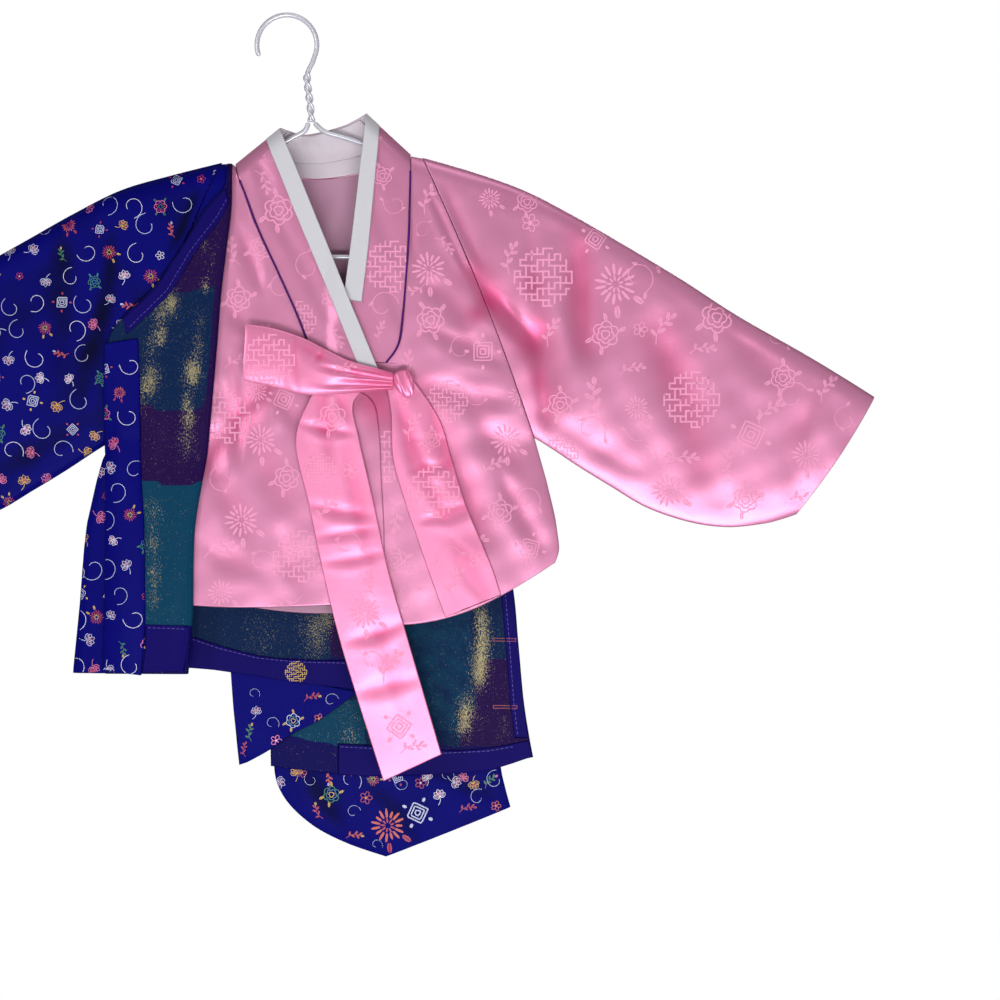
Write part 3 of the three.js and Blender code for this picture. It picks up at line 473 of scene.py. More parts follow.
CREASES_BACK = table(
    CREASE,
    (116, -146, 146.4, -211.6, 6, 1.3, 2), (10.4, -130, 34.4, -186, 7, 1, -2),
    (186.4, -174, 202.4, -314, 10, 1.4, -3), (238.4, -178, 242.4, -266, 13, 1.3, 3),
    (282.4, -242, 334.4, -338, 17, 1.2, -5), (350.4, -226, 394.4, -298, 14, 1, 4),
    (410.4, -306, 400.8, -362, 11, 0.9, 2), (154.4, -138, 206.4, -154, 8, 1, 2),
    (-29.6, -242, 10.4, -322, 12, 1.2, -4), (58.4, -186, 68, -282, 13, 1.1, 3),
    (122.4, -250, 170.4, -322, 11, 1.2, 3), (10.4, -354, 34.4, -442, 11, 1.2, 3),
    (106.4, -346, 122.4, -450, 12, 1.2, -3), (170.4, -338, 194.4, -418, 9, 1.2, 2),
    (-60, -330, -37.6, -418, 9, 1.2, -2), (266.4, -186, 298.4, -226, 12, 0.9, 2),
)
CREASES_COLLAR = table(
    CREASE,
    (68, -138, 87.2, -195.6, 7, 0.9, 1), (79.2, -200.4, 92, -250, 6, 0.8, -1),
    (63.2, -90, 84, -130, 6, 0.7, 1), (-20, -122, 2.4, -186, 6, 0.8, 1),
    (-4, -163.6, 34.4, -243.6, 6, 0.8, -1), (-25.6, -114, -9.6, -138, 5, 0.6, 0),
    (34.4, -226, 52, -266, 5, 0.7, 1),
)
CREASES_TAILS = table(
    CREASE,
    (12.8, -325.2, 52, -333.2, 4, 1, 1), (20, -390, 68, -398.8, 5, 1, 1),
    (24.8, -416.4, 71.2, -410, 4, 0.8, -1), (31.2, -435.6, 79.2, -427.6, 4, 0.8, 1),
    (50.4, -498, 93.6, -483.6, 6, 1, 1), (56.8, -539.6, 103.2, -528.4, 7, 0.9, -1),
    (46.4, -330, 68.8, -434, 6, 0.9, 2), (28, -290, 36, -354, 6, 1.1, 1),
    (42.4, -298, 50.4, -322, 5, 1, 1), (68, -466, 90.4, -546, 7, 0.7, -2),
    (90.4, -302.8, 127.2, -402, 6, 1, 2), (114.4, -296.4, 144.8, -386, 8, 1.2, 3),
    (87.2, -306, 103.2, -371.6, 5, 0.9, -1), (101.6, -362, 135.2, -355.6, 5, 0.9, 1),
    (110.4, -402, 158.4, -386, 6, 0.9, 1), (134.4, -418, 162.4, -466, 7, 0.7, 1),
)
CREASES_LOOP = table(
    CREASE,
    (86.4, -283.6, 34.4, -262.8, 4, 1.6, 1), (87.2, -287.6, 24.8, -281.2, 3.4, 1.5, -1),
    (84, -293.2, 32.8, -296.4, 4, 1.2, 1), (10.4, -262, 39.2, -278.8, 5, 1.1, 0),
    (8.8, -253.2, 10.4, -299.6, 3, 0.9, 1), (46.4, -267.6, 60, -293.2, 4, 0.9, 0),
    (31.2, -267.6, 24.8, -277.2, 2.5, 1.2, 0),
)
CREASES_COAT = table(
    CREASE,
    (-71.2, -150, -77.6, -226, 7, 1.1, 2), (-89.6, -202, -92, -274, 8, 1.2, -2),
    (-69.6, -290, -72.8, -362, 7, 1.1, 1), (-92, -322, -95.2, -402, 8, 1.2, 2),
    (-109.6, -386, -101.6, -466, 7, 1, 1), (-77.6, -434, -84, -514, 7, 1.1, -1),
    (-125.6, -250, -120.8, -370, 6, 1.2, 1), (-127.2, -386, -122.4, -498, 6, 1.1, -1),
    (-37.6, -506, 10.4, -498, 8, 1.2, 2), (-29.6, -538, 10.4, -578, 9, 1.3, 2),
    (42.4, -538, 34.4, -506, 6, 0.9, 1), (58.4, -562, 114.4, -546, 7, 1, 2),
    (154.4, -506, 164, -578, 6, 1, 1), (10.4, -594, 42.4, -650, 9, 1.6, 3),
    (58.4, -610, 106.4, -666, 9, 1.4, -3), (114.4, -602, 170.4, -626, 8, 1.4, 2),
    (34.4, -578, 154.4, -602, 10, 1.3, 2), (-1.6, -602, 10.4, -642, 7, 1.2, 1),
    (122.4, -482, 132, -546, 8, 1, 1),
)


def ripple(x, z):
    """A slow, shallow unevenness of the cloth."""
    return (
        0.16 * np.sin(0.071 * x + 0.043 * z + 1.3)
        + 0.13 * np.sin(0.052 * z - 0.097 * x)
        + 0.07 * np.sin(0.19 * x + 0.12 * z + 0.6)
        + 0.06 * np.sin(0.23 * z - 0.11 * x + 2.1)
    )


def satin_relief(x, z):
    """Fine creases and ripple of the jacket's front, into the cloth."""
    return 1.3 * creases(x, z, CREASES_FRONT) + 1.7 * ripple(x, z) + 0.3


def back_relief(x, z):
    return creases(2 * MIDDLE_X - x, z, CREASES_BACK) + ripple(x + 40, z) + 0.2


PAINTED_SPOT = "x z radius strength"  # the columns of a table of round spots
# Round spots of painted shade, deeper pink where pink cloth faces pink cloth.
PAINTED_SHADE_SPOTS = table(
    PAINTED_SPOT,
    (70, -305, 17, 0.75), (80, -322, 14, 0.35), (20, -318, 10, 0.35), (152, -238, 8, 0.7),
    (163, -225, 7, 0.55), (196, -215, 11, 0.5), (201, -248, 8, 0.45), (200, -290, 9, 0.35),
    (96, -300, 10, 0.5), (110, -350, 9, 0.3), (215, -305, 10, 0.3),
)


def painted_shade_spots(x, z):
    """Painted shade and bounced light: deeper pink where pink cloth faces pink cloth."""
    total = 0
    for row in each_row(PAINTED_SHADE_SPOTS):
        away = np.hypot(x - row["x"], z - row["z"]) / row["radius"]
        total = total + row["strength"] * np.exp(-away ** 2)
    return total


def satin_painted_shade(x, z):
    """How much painted shade a place of the front takes in its colour, 0 to 1: deep in its folds
    and creases, and in the painted shade spots.
    """
    return (troughs(x, z) + creases(x, z, CREASES_FRONT)) / 6 + painted_shade_spots(x, z)


print("fine creases:", sum(len(rows["depth"]) for rows in (CREASES_FRONT, CREASES_BACK)))

# %% [markdown]
# ## Jacket: fronts and back

# %% Fronts
FRONT_LEFT = table(
    "az bx bz sag inset",
    (-120, -42, -118.6, 0, SEAM), (-140, -34.2, -139, 0, SEAM), (-171, -22, -172, 0, SEAM),
    (-205, -6.6, -205, 0, SEAM), (-239, 8.6, -239, 0, SEAM), (-268, 19.4, -268, 0, SEAM),
    (-293, 30, -291.5, 1, SEAM), (-314, 66, -304, 2, SEAM), (-336.3, 74, -330, 4, 0),
    (-371, 76, -371, 6, 0), (-405, 78, -405, 10, 0), (-425, 78, -440, 16, 0),
    (-436, 76, -468, 23, 4),
)
FRONT_RIGHT = table(
    "ax az bz sag inset",
    (99.6, -112, -113.4, 0, SEAM), (99.4, -140, -138, 0, SEAM), (98.4, -172, -171, 0, SEAM),
    (96.4, -205, -205, 0, SEAM), (94, -239, -239, 0, SEAM), (90.4, -262, -260, 0, SEAM),
    (80, -276, -281, 0, SEAM), (66, -279, -303, 0, SEAM), (50, -326, -336.3, 3, 0),
    (46, -371, -371, 6, 0), (46, -405, -405, 9, 0), (47, -445, -425, 14, 0),
    (48, -484, -436, 19, 4),
)
LEFT_SKEW = 0.55  # the left front sags most near its side seam
UNDERLAP = (76, 118)  # the right front comes forward between these


def on_left_seam(row):
    return {**row, "ax": left_edge(row["az"]) + row["inset"], "skew": LEFT_SKEW}


def on_right_seam(row):
    return {**row, "bx": right_edge(row["bz"]) - row["inset"]}


def right_front_y(x, z, *rest):
    tucked = 1 - ease((x - UNDERLAP[0]) / (UNDERLAP[1] - UNDERLAP[0]))
    return front_y(x, z) + LAYER * tucked * ease((-z - 250) / 30) + satin_relief(x, z)


def left_front_y(x, z, *rest):
    return front_y(x, z) + satin_relief(x, z)


BODY_ACROSS = edged(58)
BODY_DOWN = closer_at_top(88)
panel("jeogori_front_left", FRONT_LEFT, BODY_ACROSS, BODY_DOWN, left_front_y,
      fit=on_left_seam, fold=satin_painted_shade)
panel("jeogori_front_right", FRONT_RIGHT, BODY_ACROSS, BODY_DOWN, right_front_y,
      fit=on_right_seam, fold=satin_painted_shade)

# %% Back
BACK = table(
    "az bz sag inset neck",
    (-118.6, -111.2, 13.2, 0, 1), (-130, -124, 14, SEAM, 0), (-150, -146, 8, SEAM, 0),
    (-171, -171, 3, SEAM, 0), (-225, -225, 0, SEAM, 0), (-279, -279, 0, SEAM, 0),
    (-336.3, -336.3, 6, 0, 0), (-371, -371, 14, 0, 0), (-405, -405, 26, 0, 0),
    (-434, -434, 43, 4, 0),
)
NECK_POINTS = (-41.6, 99.8)


def on_both_seams(row):
    neck = clamp(row["neck"])
    left, right = left_edge(row["az"]) + row["inset"], right_edge(row["bz"]) - row["inset"]
    return {**row, "ax": mix(left, NECK_POINTS[0], neck), "bx": mix(right, NECK_POINTS[1], neck)}


panel("jeogori_back", BACK, edged(72), closer_at_top(72),
      lambda x, z, *rest: back_y(x, z) - back_relief(x, z), into=-1, fit=on_both_seams)
print("body panels:", len(PIECES))

# %% [markdown]
# ## Jacket: sleeves
# A sleeve is two walls, front and back, from the armhole to the cuff. Column a is the fold along
# its top and b the curved seam below.

# %% Sleeves
SLEEVE_RIGHT = table(
    "ax az bx bz full bow",
    (108.6, -112.2, 198, -336.3, 1, 4), (150, -124.2, 212, -345, 1, 2),
    (190, -138.6, 233, -359, 0.95, 0), (227.4, -157.7, 259, -375, 0.9, 0),
    (267.2, -180.6, 288, -392, 0.85, 0), (314.4, -209, 322, -403.5, 0.85, 0),
    (360, -238.5, 352.1, -407.5, 0.85, 0), (413.4, -269, 380, -405, 0.9, 1),
    (445, -288, 395, -401.5, 0.95, 2), (469.5, -303.4, 407.2, -397.5, 1, 3),
)
SLEEVE_LEFT = {
    **SLEEVE_RIGHT,
    "ax": 2 * MIDDLE_X - SLEEVE_RIGHT["ax"],
    "bx": 2 * MIDDLE_X - SLEEVE_RIGHT["bx"],
    "bow": -SLEEVE_RIGHT["bow"],
}
SLEEVE_LEFT["az"] = shoulder_top(SLEEVE_LEFT["ax"])
SLEEVE_LEFT["ax"][0] = left_edge(LEFT_SHOULDER_Z) - SEAM
SLEEVE_LEFT["az"][0] = LEFT_SHOULDER_Z
SLEEVE_ACROSS = with_edges((1 - np.cos(np.pi * even(52))) / 2 * 0.6 + even(52) * 0.4)
SLEEVE_DOWN = edged(76)


def sleeve_point(rows, side, u, v):
    """A point of a sleeve's face before its fine creases, and the depth of its large folds."""
    row = section(rows, v)
    x = mix(row["ax"], row["bx"], u) + row["bow"] * np.sin(np.pi * u)
    z = mix(row["az"], row["bz"], u)
    top_distance = u * np.hypot(row["ax"] - row["bx"], row["az"] - row["bz"])
    shape = arm_profile(u) * quarter_round(top_distance / SHOULDER_ROUND)
    fold = troughs(x, z) * (1 if side < 0 else 0.6) * np.sin(np.pi * u) * ease(v * 6)
    full = np.maximum(0, ARM_DEPTH * row["full"] - fold)
    return x, side * (SEAM_DEPTH + full * shape), z


# `fold` gives the painted shade that each point's colour takes in the folds.
def sleeve(name, rows, side, relief, fold):
    u, v = np.meshgrid(SLEEVE_ACROSS, SLEEVE_DOWN)
    x, y, z = sleeve_point(rows, side, u, v)
    fade = clamp(np.minimum(u, 1 - u) * 9)
    sided_wall(name, x, y - side * relief(x, z) * fade, z, side, fold(x, z) * fade)


def mirrored_painted_shade(x, z):
    return satin_painted_shade(2 * MIDDLE_X - x, z)


sleeve("sleeve_right_front", SLEEVE_RIGHT, -1, satin_relief, satin_painted_shade)
sleeve("sleeve_right_back", SLEEVE_RIGHT, 1, lambda x, z: back_relief(2 * MIDDLE_X - x, z),
       satin_painted_shade)
sleeve("sleeve_left_front", SLEEVE_LEFT, -1,
       lambda x, z: creases(2 * MIDDLE_X - x, z, CREASES_BACK) + ripple(x, z) + 0.2, mirrored_painted_shade)
sleeve("sleeve_left_back", SLEEVE_LEFT, 1, back_relief, mirrored_painted_shade)
print("sleeves made, pieces:", len(PIECES))

# %% [markdown]
# ## Jacket: collar
# Each collar band runs down from the shoulder, with a white strip along the throat and a thin
# purple cord over the seam to the front.

# %% Collar bands
COLLAR_RIGHT = table(
    "ax az bx bz rise",
    (98.8, -109.6, 63.6, -77, 0), (99.1, -124, 62.4, -95, 0.75), (98.8, -141, 59.6, -118, 1),
    (97.9, -172, 55.6, -152, 1), (96, -205, 51, -190, 1), (93.4, -236, 46, -226, 1),
    (89.6, -262, 42, -256, 1), (80, -277, 46, -275, 1),
)
COLLAR_LEFT = table(
    "ax az bx bz rise",
    (-41, -117.4, -5.8, -89, 0), (-37, -131, 1.6, -106, 0.75), (-33, -141, 8.4, -122, 1),
    (-21.4, -171.5, 20.6, -152, 1), (-6.2, -204.4, 36, -190, 1), (9, -238, 50.4, -226, 1),
    (17.4, -260, 62, -254, 1), (27, -285, 75, -285.6, 1),
)
LEFT_OVER_RIGHT = 3.4
STRIP_SHARE = 0.3


def collar_y(x, z, row, lift=0):
    full = body_depth(x, z, "belly") - SEAM_DEPTH + lift
    return -(SEAM_DEPTH + np.maximum(full, 3.2) * quarter_round(row["rise"]))


def right_collar_y(x, z, row, *rest):
    return collar_y(x, z, row)


def left_collar_y(x, z, row, *rest):
    crossing = ease((x - 30) / 14) * ease((-z - 150) / 30)
    return collar_y(x, z, row, LEFT_OVER_RIGHT * crossing)


def band_relief(x, z):
    return 1.3 * creases(x, z, CREASES_COLLAR) + 0.9 * ripple(x, z)


COLLAR_DOWN = edged(90, 0.003)
for side, rows, depth in (("right", COLLAR_RIGHT, right_collar_y),
                          ("left", COLLAR_LEFT, left_collar_y)):
    panel(f"collar_{side}", rows, edged(18, 0.02), COLLAR_DOWN,
          lambda x, z, row, *rest, depth=depth: depth(x, z, row) + 0.8 * band_relief(x, z) + 0.15)


def strip(name, rows, depth):
    """The white strip, over the part of a band next to the throat."""
    share = 1 - STRIP_SHARE
    inner = {**rows, **{"a" + k: mix(rows["a" + k], rows["b" + k], share) for k in "xz"}}
    panel(name, inner, edged(7, 0.04), COLLAR_DOWN,
          lambda x, z, row, *rest: depth(x, z, row) - LAYER - SEAM + 0.3 * ripple(x, z), thick=1)


strip("dongjeong_right", {k: v[:6] for k, v in COLLAR_RIGHT.items()}, right_collar_y)
strip("dongjeong_left", COLLAR_LEFT, left_collar_y)

# %% [markdown]
# The back of the collar goes round the neck, with the white strip outside it and a satin facing
# inside it.

# %% Collar round the neck
COLLAR_BACK = table(
    "ax az ay bx bz by",
    (-5.4, -88.2, 1.5, -41, -117, 1.5), (1, -90, 5.6, -30, -120, 6.2),
    (11, -92.4, 9.6, -8, -125, 9.8), (24, -90.8, 11, 27, -127.6, 11.6),
    (44, -85.6, 9.6, 66, -121.5, 9.8), (57, -80, 5.6, 88, -114, 6.2),
    (63.4, -76.8, 1.5, 99, -109.8, 1.5),
)


def neck_band(name, start, end, out, rows=COLLAR_BACK, relief=None):
    u, v = np.meshgrid(edged(14, 0.03), edged(60))
    row, share = section(rows, v), mix(start, end, u)
    x, y, z = (mix(row[f"a{k}"], row[f"b{k}"], share) for k in "xyz")
    sided_wall(name, x, y + out + (relief(x, z) if relief else 0), z, 1)


def facing_relief(x, z):
    """Small wrinkles of the loose facing, towards the wearer's neck."""
    return -0.35 * np.abs(np.sin(0.33 * x + 0.12 * z)) * np.sin(0.9 + 0.21 * z) ** 2


neck_band("collar_back", 0, 1, CLOTH)
neck_band("dongjeong_back", 0.02, STRIP_SHARE + 0.08, 2 * CLOTH + 0.4)
neck_band("neck_facing", 0.04, 0.66, -0.4, {k: values[1:-1] for k, values in COLLAR_BACK.items()},
          facing_relief)

# %% [markdown]
# A cord is a round tube along a line of points.

# %% Piping over the collar seams
def closed_tube(name, grid, uv):
    """A mesh round a grid of rings, with a cap at both ends."""
    points, count = grid.reshape(-1, 3), grid.shape[1]
    index = np.arange(len(points)).reshape(-1, count)
    after = np.roll(index, -1, axis=1)
    quads = np.stack([index[:-1], after[:-1], after[1:], index[1:]], -1).reshape(-1, 4)
    caps = [index[:1, ::-1], index[-1:]]
    if signed_volume(points, quads) < 0:
        quads, caps = quads[:, ::-1], [cap[:, ::-1] for cap in caps]
    thing = build_mesh(name, points, [quads, *caps])
    lay_uv(thing, uv.reshape(-1, 2))
    return thing


def tube(name, points, radius, sides=10):
    """A round tube along points, narrower at its two ends."""
    points = np.asarray(points, float)
    tangents = np.gradient(points, axis=0)
    tangents /= np.linalg.norm(tangents, axis=1, keepdims=True)
    up = np.array([0.0, 1.0, 0.0])
    angles = 2 * np.pi * np.arange(sides) / sides
    rings = []
    for i, (point, tangent) in enumerate(zip(points, tangents)):
        up = up - tangent * up.dot(tangent)
        up /= np.linalg.norm(up)
        side = np.cross(tangent, up)
        size = radius * (0.55 if i in (0, len(points) - 1) else 1)
        rings.append(point + size * (np.cos(angles)[:, None] * up + np.sin(angles)[:, None] * side))
    uv = np.stack(np.meshgrid(angles * radius, run_along(points)), -1)
    closed_tube(name, np.array(rings), uv)


PIPING_RADIUS = 0.75
for side, rows in (("right", COLLAR_RIGHT), ("left", COLLAR_LEFT)):
    share = np.linspace(1 / 7, 1, 150)
    row = section(rows, share)
    x, z = row["ax"], row["az"]
    y = front_y(x, z) - LAYER + 0.55
    tube(f"piping_{side}_cord", np.stack([x, y, z], -1), PIPING_RADIUS, 8)
print("collar made, pieces:", len(PIECES))

# %% [markdown]
# ## Jacket: ribbon bow
# Two tails hang from the knot, and one flattened loop lies to the left of it. The ribbon is folded
# from satin, so it is fuller than the cloth below it and it creases across.

# %% Tails
TAIL_LONG = table(
    "ax az bx bz lift",
    (34, -284, 70, -292, 5.6), (20.6, -304.4, 54, -309, 5.2), (8.6, -339.6, 58.6, -338, 4.4),
    (19, -390, 69.6, -386, 3.4), (29.9, -442, 81.6, -442, 3), (42, -492, 95.2, -490, 2.4),
    (57.3, -543.6, 110, -541, 1.6), (78, -609, 123.7, -588, 1),
)
TAIL_SHORT = table(
    "ax az bx bz lift",
    (80, -293, 101.9, -291.6, 2), (84.3, -318, 122, -322, 1.6), (85.4, -352, 132, -354, 1.2),
    (94.3, -385, 142, -387, 0.8), (104, -414, 153, -414, 0.5), (115, -446, 164, -440, 0.3),
    (127.2, -479.1, 171, -461.5, 0.2),
)


def tail_y(x, z, row, u, v):
    base = front_y(x, z) - LAYER - row["lift"]
    return base + np.minimum(creases(x, z, CREASES_TAILS), row["lift"] * 0.7) + 0.4 * ripple(z, x)


# Painted shade in the tails' creases.
def tail_painted_shade(x, z):
    return creases(x, z, CREASES_TAILS) / 2.2


TAIL_DOWN = edged(110, 0.003)
panel("goreum_tail_long", TAIL_LONG, edged(20, 0.015), TAIL_DOWN, tail_y,
      fold=tail_painted_shade)
panel("goreum_tail_short", TAIL_SHORT, edged(20, 0.015), TAIL_DOWN, tail_y,
      fold=tail_painted_shade)

# %% Loop and knot
LOOP = table(
    "x topZ lowZ lift open",
    (-31.8, -246.8, -291, 9.5, 0.9), (-27, -247.4, -292.4, 9.5, 2.2), (-8, -250.5, -296.6, 9.4, 3),
    (15, -258, -302.4, 9.2, 3.2), (34, -267.6, -303, 9, 3), (52, -276, -301.6, 8.8, 2.6),
    (70, -281, -300, 8.6, 2), (86, -285.6, -298.6, 8.4, 1.3),
)
LOOP_PLEATS = ((2.0, 0.9, 0.2), (3.0, 1.1, 1.9), (5.0, 0.5, 0.7))  # waves around, depth, phase
KNOT = {"x": 94, "z": -292, "half": (7.4, 5, 9), "lift": 7.6, "tilt": 0.35}


def ribbon_ring(name, around, along, point, fold):
    """A closed form from point(u, v), u around and v along it. `fold` is how much painted shade its
    colour takes.
    """
    u, v = np.meshgrid(np.arange(around) / around, along)
    grid = np.stack(point(u, v), -1)
    thing = closed_tube(name + "_cloth", grid, grid[..., [0, 2]])
    point_attribute(thing, "fold", clamp(fold(grid[..., 0], grid[..., 2])))


def loop_point(u, v):
    row = section(LOOP, v)
    angle = 2 * np.pi * u
    half = (row["topZ"] - row["lowZ"]) / 2
    middle = (row["topZ"] + row["lowZ"]) / 2
    gather = ease((row["x"] - 10) / 60)
    z = middle + half * np.sign(np.cos(angle)) * np.abs(np.cos(angle)) ** 0.8
    across = (z - middle) / half
    pleat = sum(deep * np.sin(np.pi * waves * across + phase + 1.2 * v)
                for waves, deep, phase in LOOP_PLEATS)
    y = front_y(np.maximum(row["x"], 0), z) - LAYER - row["lift"]
    spread = np.maximum(0.5, CLOTH + row["open"] / 2)
    pressed = np.minimum(creases(row["x"], z, CREASES_LOOP), 2.2)
    out = (pleat * gather * 0.8 - pressed * 0.7) * np.clip(-np.sin(angle), 0, 1) ** 0.6 * -1
    y = y + spread * np.sin(angle) + out * 0.8
    x = row["x"] + 0.8 * np.sin(2.2 * across) * ease((-row["x"] + 20) / 40)
    return x, y, z


# Painted shade in the loop's creases, deepening towards the knot.
ribbon_ring("goreum_loop", 72, even(110), loop_point,
            lambda x, z: creases(x, z, CREASES_LOOP) / 2.6 + 0.5 * ease((x - 40) / 45))


def knot_point(u, v):
    """The turn over which the loop's end passes down into the short tail: a flat, pleated hood."""
    polar = mix(0.1, np.pi - 0.1, v)
    angle = 2 * np.pi * u
    half_x, half_y, half_z = KNOT["half"]
    pleat = 0.9 + 0.09 * np.sin(5 * angle + 2.2 * polar) + 0.05 * np.sin(11 * angle + 1)
    square = np.sin(polar) ** 0.7
    local_x = half_x * square * np.sign(np.cos(angle)) * np.abs(np.cos(angle)) ** 0.75
    low = clamp(-np.cos(polar))  # the lower part narrows into the tail
    local_x = local_x * (1.12 - 0.25 * low)
    local_z = half_z * np.sign(np.cos(polar)) * np.abs(np.cos(polar)) ** 0.85 * (1 + 0.5 * low)
    base = front_y(KNOT["x"], KNOT["z"]) - LAYER - KNOT["lift"]
    pleat = pleat + 0.12 * np.sin(1.9 * local_x)
    y = base - 0.72 * half_y * (1 - 0.3 * low) * square * np.sin(angle) * pleat
    tilt = KNOT["tilt"]
    x = KNOT["x"] + local_x * np.cos(tilt) - local_z * np.sin(tilt)
    return x, y, KNOT["z"] + local_x * np.sin(tilt) + local_z * np.cos(tilt)


# The knot takes a little painted shade all over.
ribbon_ring("goreum_knot", 48, even(28), knot_point, lambda x, z: 0.25 + 0 * x)
print("bow made, pieces:", len(PIECES))

# %% [markdown]
# ## Overcoat
# The coat wraps the jacket's left side. Its left front folds forward and lies back as a broad
# lapel with its lining showing; its right half has slipped down behind the jacket.

# %% Form of the coat
COAT_EASE = 3
COAT_LIFT = 2.4
UNDERARM_RUN = 12
FOLD_RADIUS = 1.9


def below_underarm(z):
    return ease((ARM_LOW[1] - 2 * COAT_EASE - z) / UNDERARM_RUN)


def coat_side(z):
    return left_edge(z) + mix(SEAM, -COAT_EASE, below_underarm(z))


def coat_depth(x, z, column):
    at_side = mix(1, ease((x - coat_side(z)) / COAT_EASE), below_underarm(z))
    at_top = ease((shoulder_top(x) + COAT_EASE - z) / COAT_EASE)
    return body_depth(x, z, column) + COAT_LIFT * at_side * at_top


def coat_back_y(x, z, *rest):
    return coat_depth(x, z, "back")


def coat_right_y(x, z, *rest):
    return coat_back_y(x, z) + LAYER - CLOTH + SEAM


def lapel_y(x, z):
    return -coat_depth(x, z, "belly") - 2 * FOLD_RADIUS


# %% Coat: left front with its lapel
COAT_FRONT = table(
    "z fold free",
    (-118, -42.6, -46.6), (-137, -42.4, -48), (-157, -42.9, -65), (-190, -47, -86),
    (-219, -50.5, -106), (-241, -52.4, -129), (-262, -54, -141), (-308, -58, -143),
    (-348, -62, -143), (-374, -66.4, -142), (-404, -71.4, -141), (-434, -73, -141),
    (-480, -73.6, -142), (-524, -77, -143),
)


def coat_front_point(u, v, through):
    """u below 1 is the layer on the jacket, 1 to 2 the fold and above 2 the lapel."""
    row = section(COAT_FRONT, v)
    z = row["z"]
    fold_middle = row["fold"] - FOLD_RADIUS - CLOTH / 2
    half = through * CLOTH / 2
    inner_x = mix(coat_side(z), fold_middle, np.minimum(u, 1))
    lapel_x = mix(fold_middle, np.minimum(row["free"], fold_middle - 0.8), np.maximum(u - 2, 0))
    angle = np.pi * (1.5 - u)
    reach = FOLD_RADIUS + half
    x = np.where(u <= 1, inner_x, np.where(u < 2, fold_middle + reach * np.cos(angle), lapel_x))
    under = -coat_depth(np.where((u > 1) & (u < 2), fold_middle, x), z, "belly") + CLOTH / 2
    relief = (creases(x, z, CREASES_COAT) + ripple(x, z)) * ease((u - 2) * 6)
    rolled = under - FOLD_RADIUS + reach * np.sin(angle)
    lapel = under - 2 * FOLD_RADIUS - half - 0.4 + relief
    y = np.where(u <= 1, under + half, np.where(u < 2, rolled, lapel))
    y = np.where(u > 2, y + 0.4 * (1 - ease((u - 2) * 6)), y)
    return np.stack([x, y, z], -1)


around_fold = 1 + np.linspace(0.1, 0.9, 9)
front_across = np.concatenate([edged(24), around_fold, 2 + edged(34)])
u, v = np.meshgrid(front_across, closer_at_top(120))
lining_face, brocade_face = coat_front_point(u, v, 1), coat_front_point(u, v, -1)
# The fold attribute puts painted shade into the lining's creases.
wall("coat_front_left", lining_face, brocade_face,
     np.clip(creases(lining_face[..., 0], lining_face[..., 2], CREASES_COAT), 0, 3) / 3)

# %% Coat: rolled edge and facings
ROLL = table(
    "ax az bx bz bulge",
    (-143.6, -262, -117, -258, 1.5), (-144.4, -308, -115.6, -308, 3), (-144.2, -360, -115, -360, 4),
    (-143.4, -404, -112.4, -404, 4), (-143.6, -450, -111.6, -450, 4),
    (-144.6, -486, -111.6, -486, 3.5), (-145.4, -521, -114.6, -525, 3),
)
NECK_FACING = table(
    "ax az bx bz",
    (-47, -139.5, -44.8, -150), (-63.4, -157.6, -52, -164), (-84.6, -190.8, -73, -191.4),
    (-103, -218, -92, -222), (-128.6, -242, -126, -254),
)
HEM_FACING_LEFT = table(
    "ax az bx bz",
    (-110.6, -485, -76.4, -486), (-110.8, -500, -77, -500), (-113.4, -522.6, -81, -521.6),
)
FACING = 1


def roll_y(x, z, row, u, v):
    bulge = row["bulge"] * np.sin(np.pi * u) ** 0.8
    dents = 0.6 * creases(x, z, CREASES_COAT) * np.sin(np.pi * u)
    return lapel_y(x, z) - LAYER - 0.2 - bulge + dents


def on_lapel_y(x, z, *rest):
    return lapel_y(x, z) - FACING - 0.4 + 0.8 * creases(x, z, CREASES_COAT)


panel("coat_front_edge", ROLL, edged(16, 0.02), edged(90), roll_y)
panel("coat_facing_neck", NECK_FACING, edged(6, 0.05), edged(50),
      lambda x, z, *rest: lapel_y(x, z) - FACING - 0.4, thick=FACING)
panel("coat_facing_hem_left", HEM_FACING_LEFT, edged(14, 0.02),
      edged(16, 0.02), on_lapel_y, thick=FACING)

# %% Coat: left sleeve
CUFF_EASE = 5


def coat_sleeve(name, side):
    u, v = np.meshgrid(np.concatenate([[-1], SLEEVE_ACROSS, [2]]), SLEEVE_DOWN)
    row = section(COAT_SLEEVE_LEFT, v)
    beyond = COAT_EASE / np.hypot(row["ax"] - row["bx"], row["az"] - row["bz"])
    x, y, z = sleeve_point(SLEEVE_LEFT, side, clamp(u), v)
    slide = np.where(u < 0, -beyond, np.where(u > 1, beyond, 0))
    inside = (u >= 0) & (u <= 1)
    fade = clamp(np.minimum(u, 1 - u) * 9)
    mirrored_x = 2 * MIDDLE_X - x
    relief = np.clip(creases(mirrored_x, z, CREASES_FRONT) * 0.6 + ripple(x, z), -1, 1.4) * fade
    x = x - CUFF_EASE * v + slide * (row["bx"] - row["ax"])
    z = z + slide * (row["bz"] - row["az"])
    y = y + side * (COAT_LIFT * inside - relief * inside)
    # The last argument is painted shade in the sleeve's creases.
    sided_wall(name, x, y, z, side, clamp(relief * 1.2))


share = np.linspace(0, 1, len(SLEEVE_LEFT["ax"]))
COAT_SLEEVE_LEFT = {
    **SLEEVE_LEFT,
    "ax": SLEEVE_LEFT["ax"] - CUFF_EASE * share,
    "bx": SLEEVE_LEFT["bx"] - CUFF_EASE * share,
}
coat_sleeve("coat_sleeve_left_front", -1)
coat_sleeve("coat_sleeve_left_back", 1)

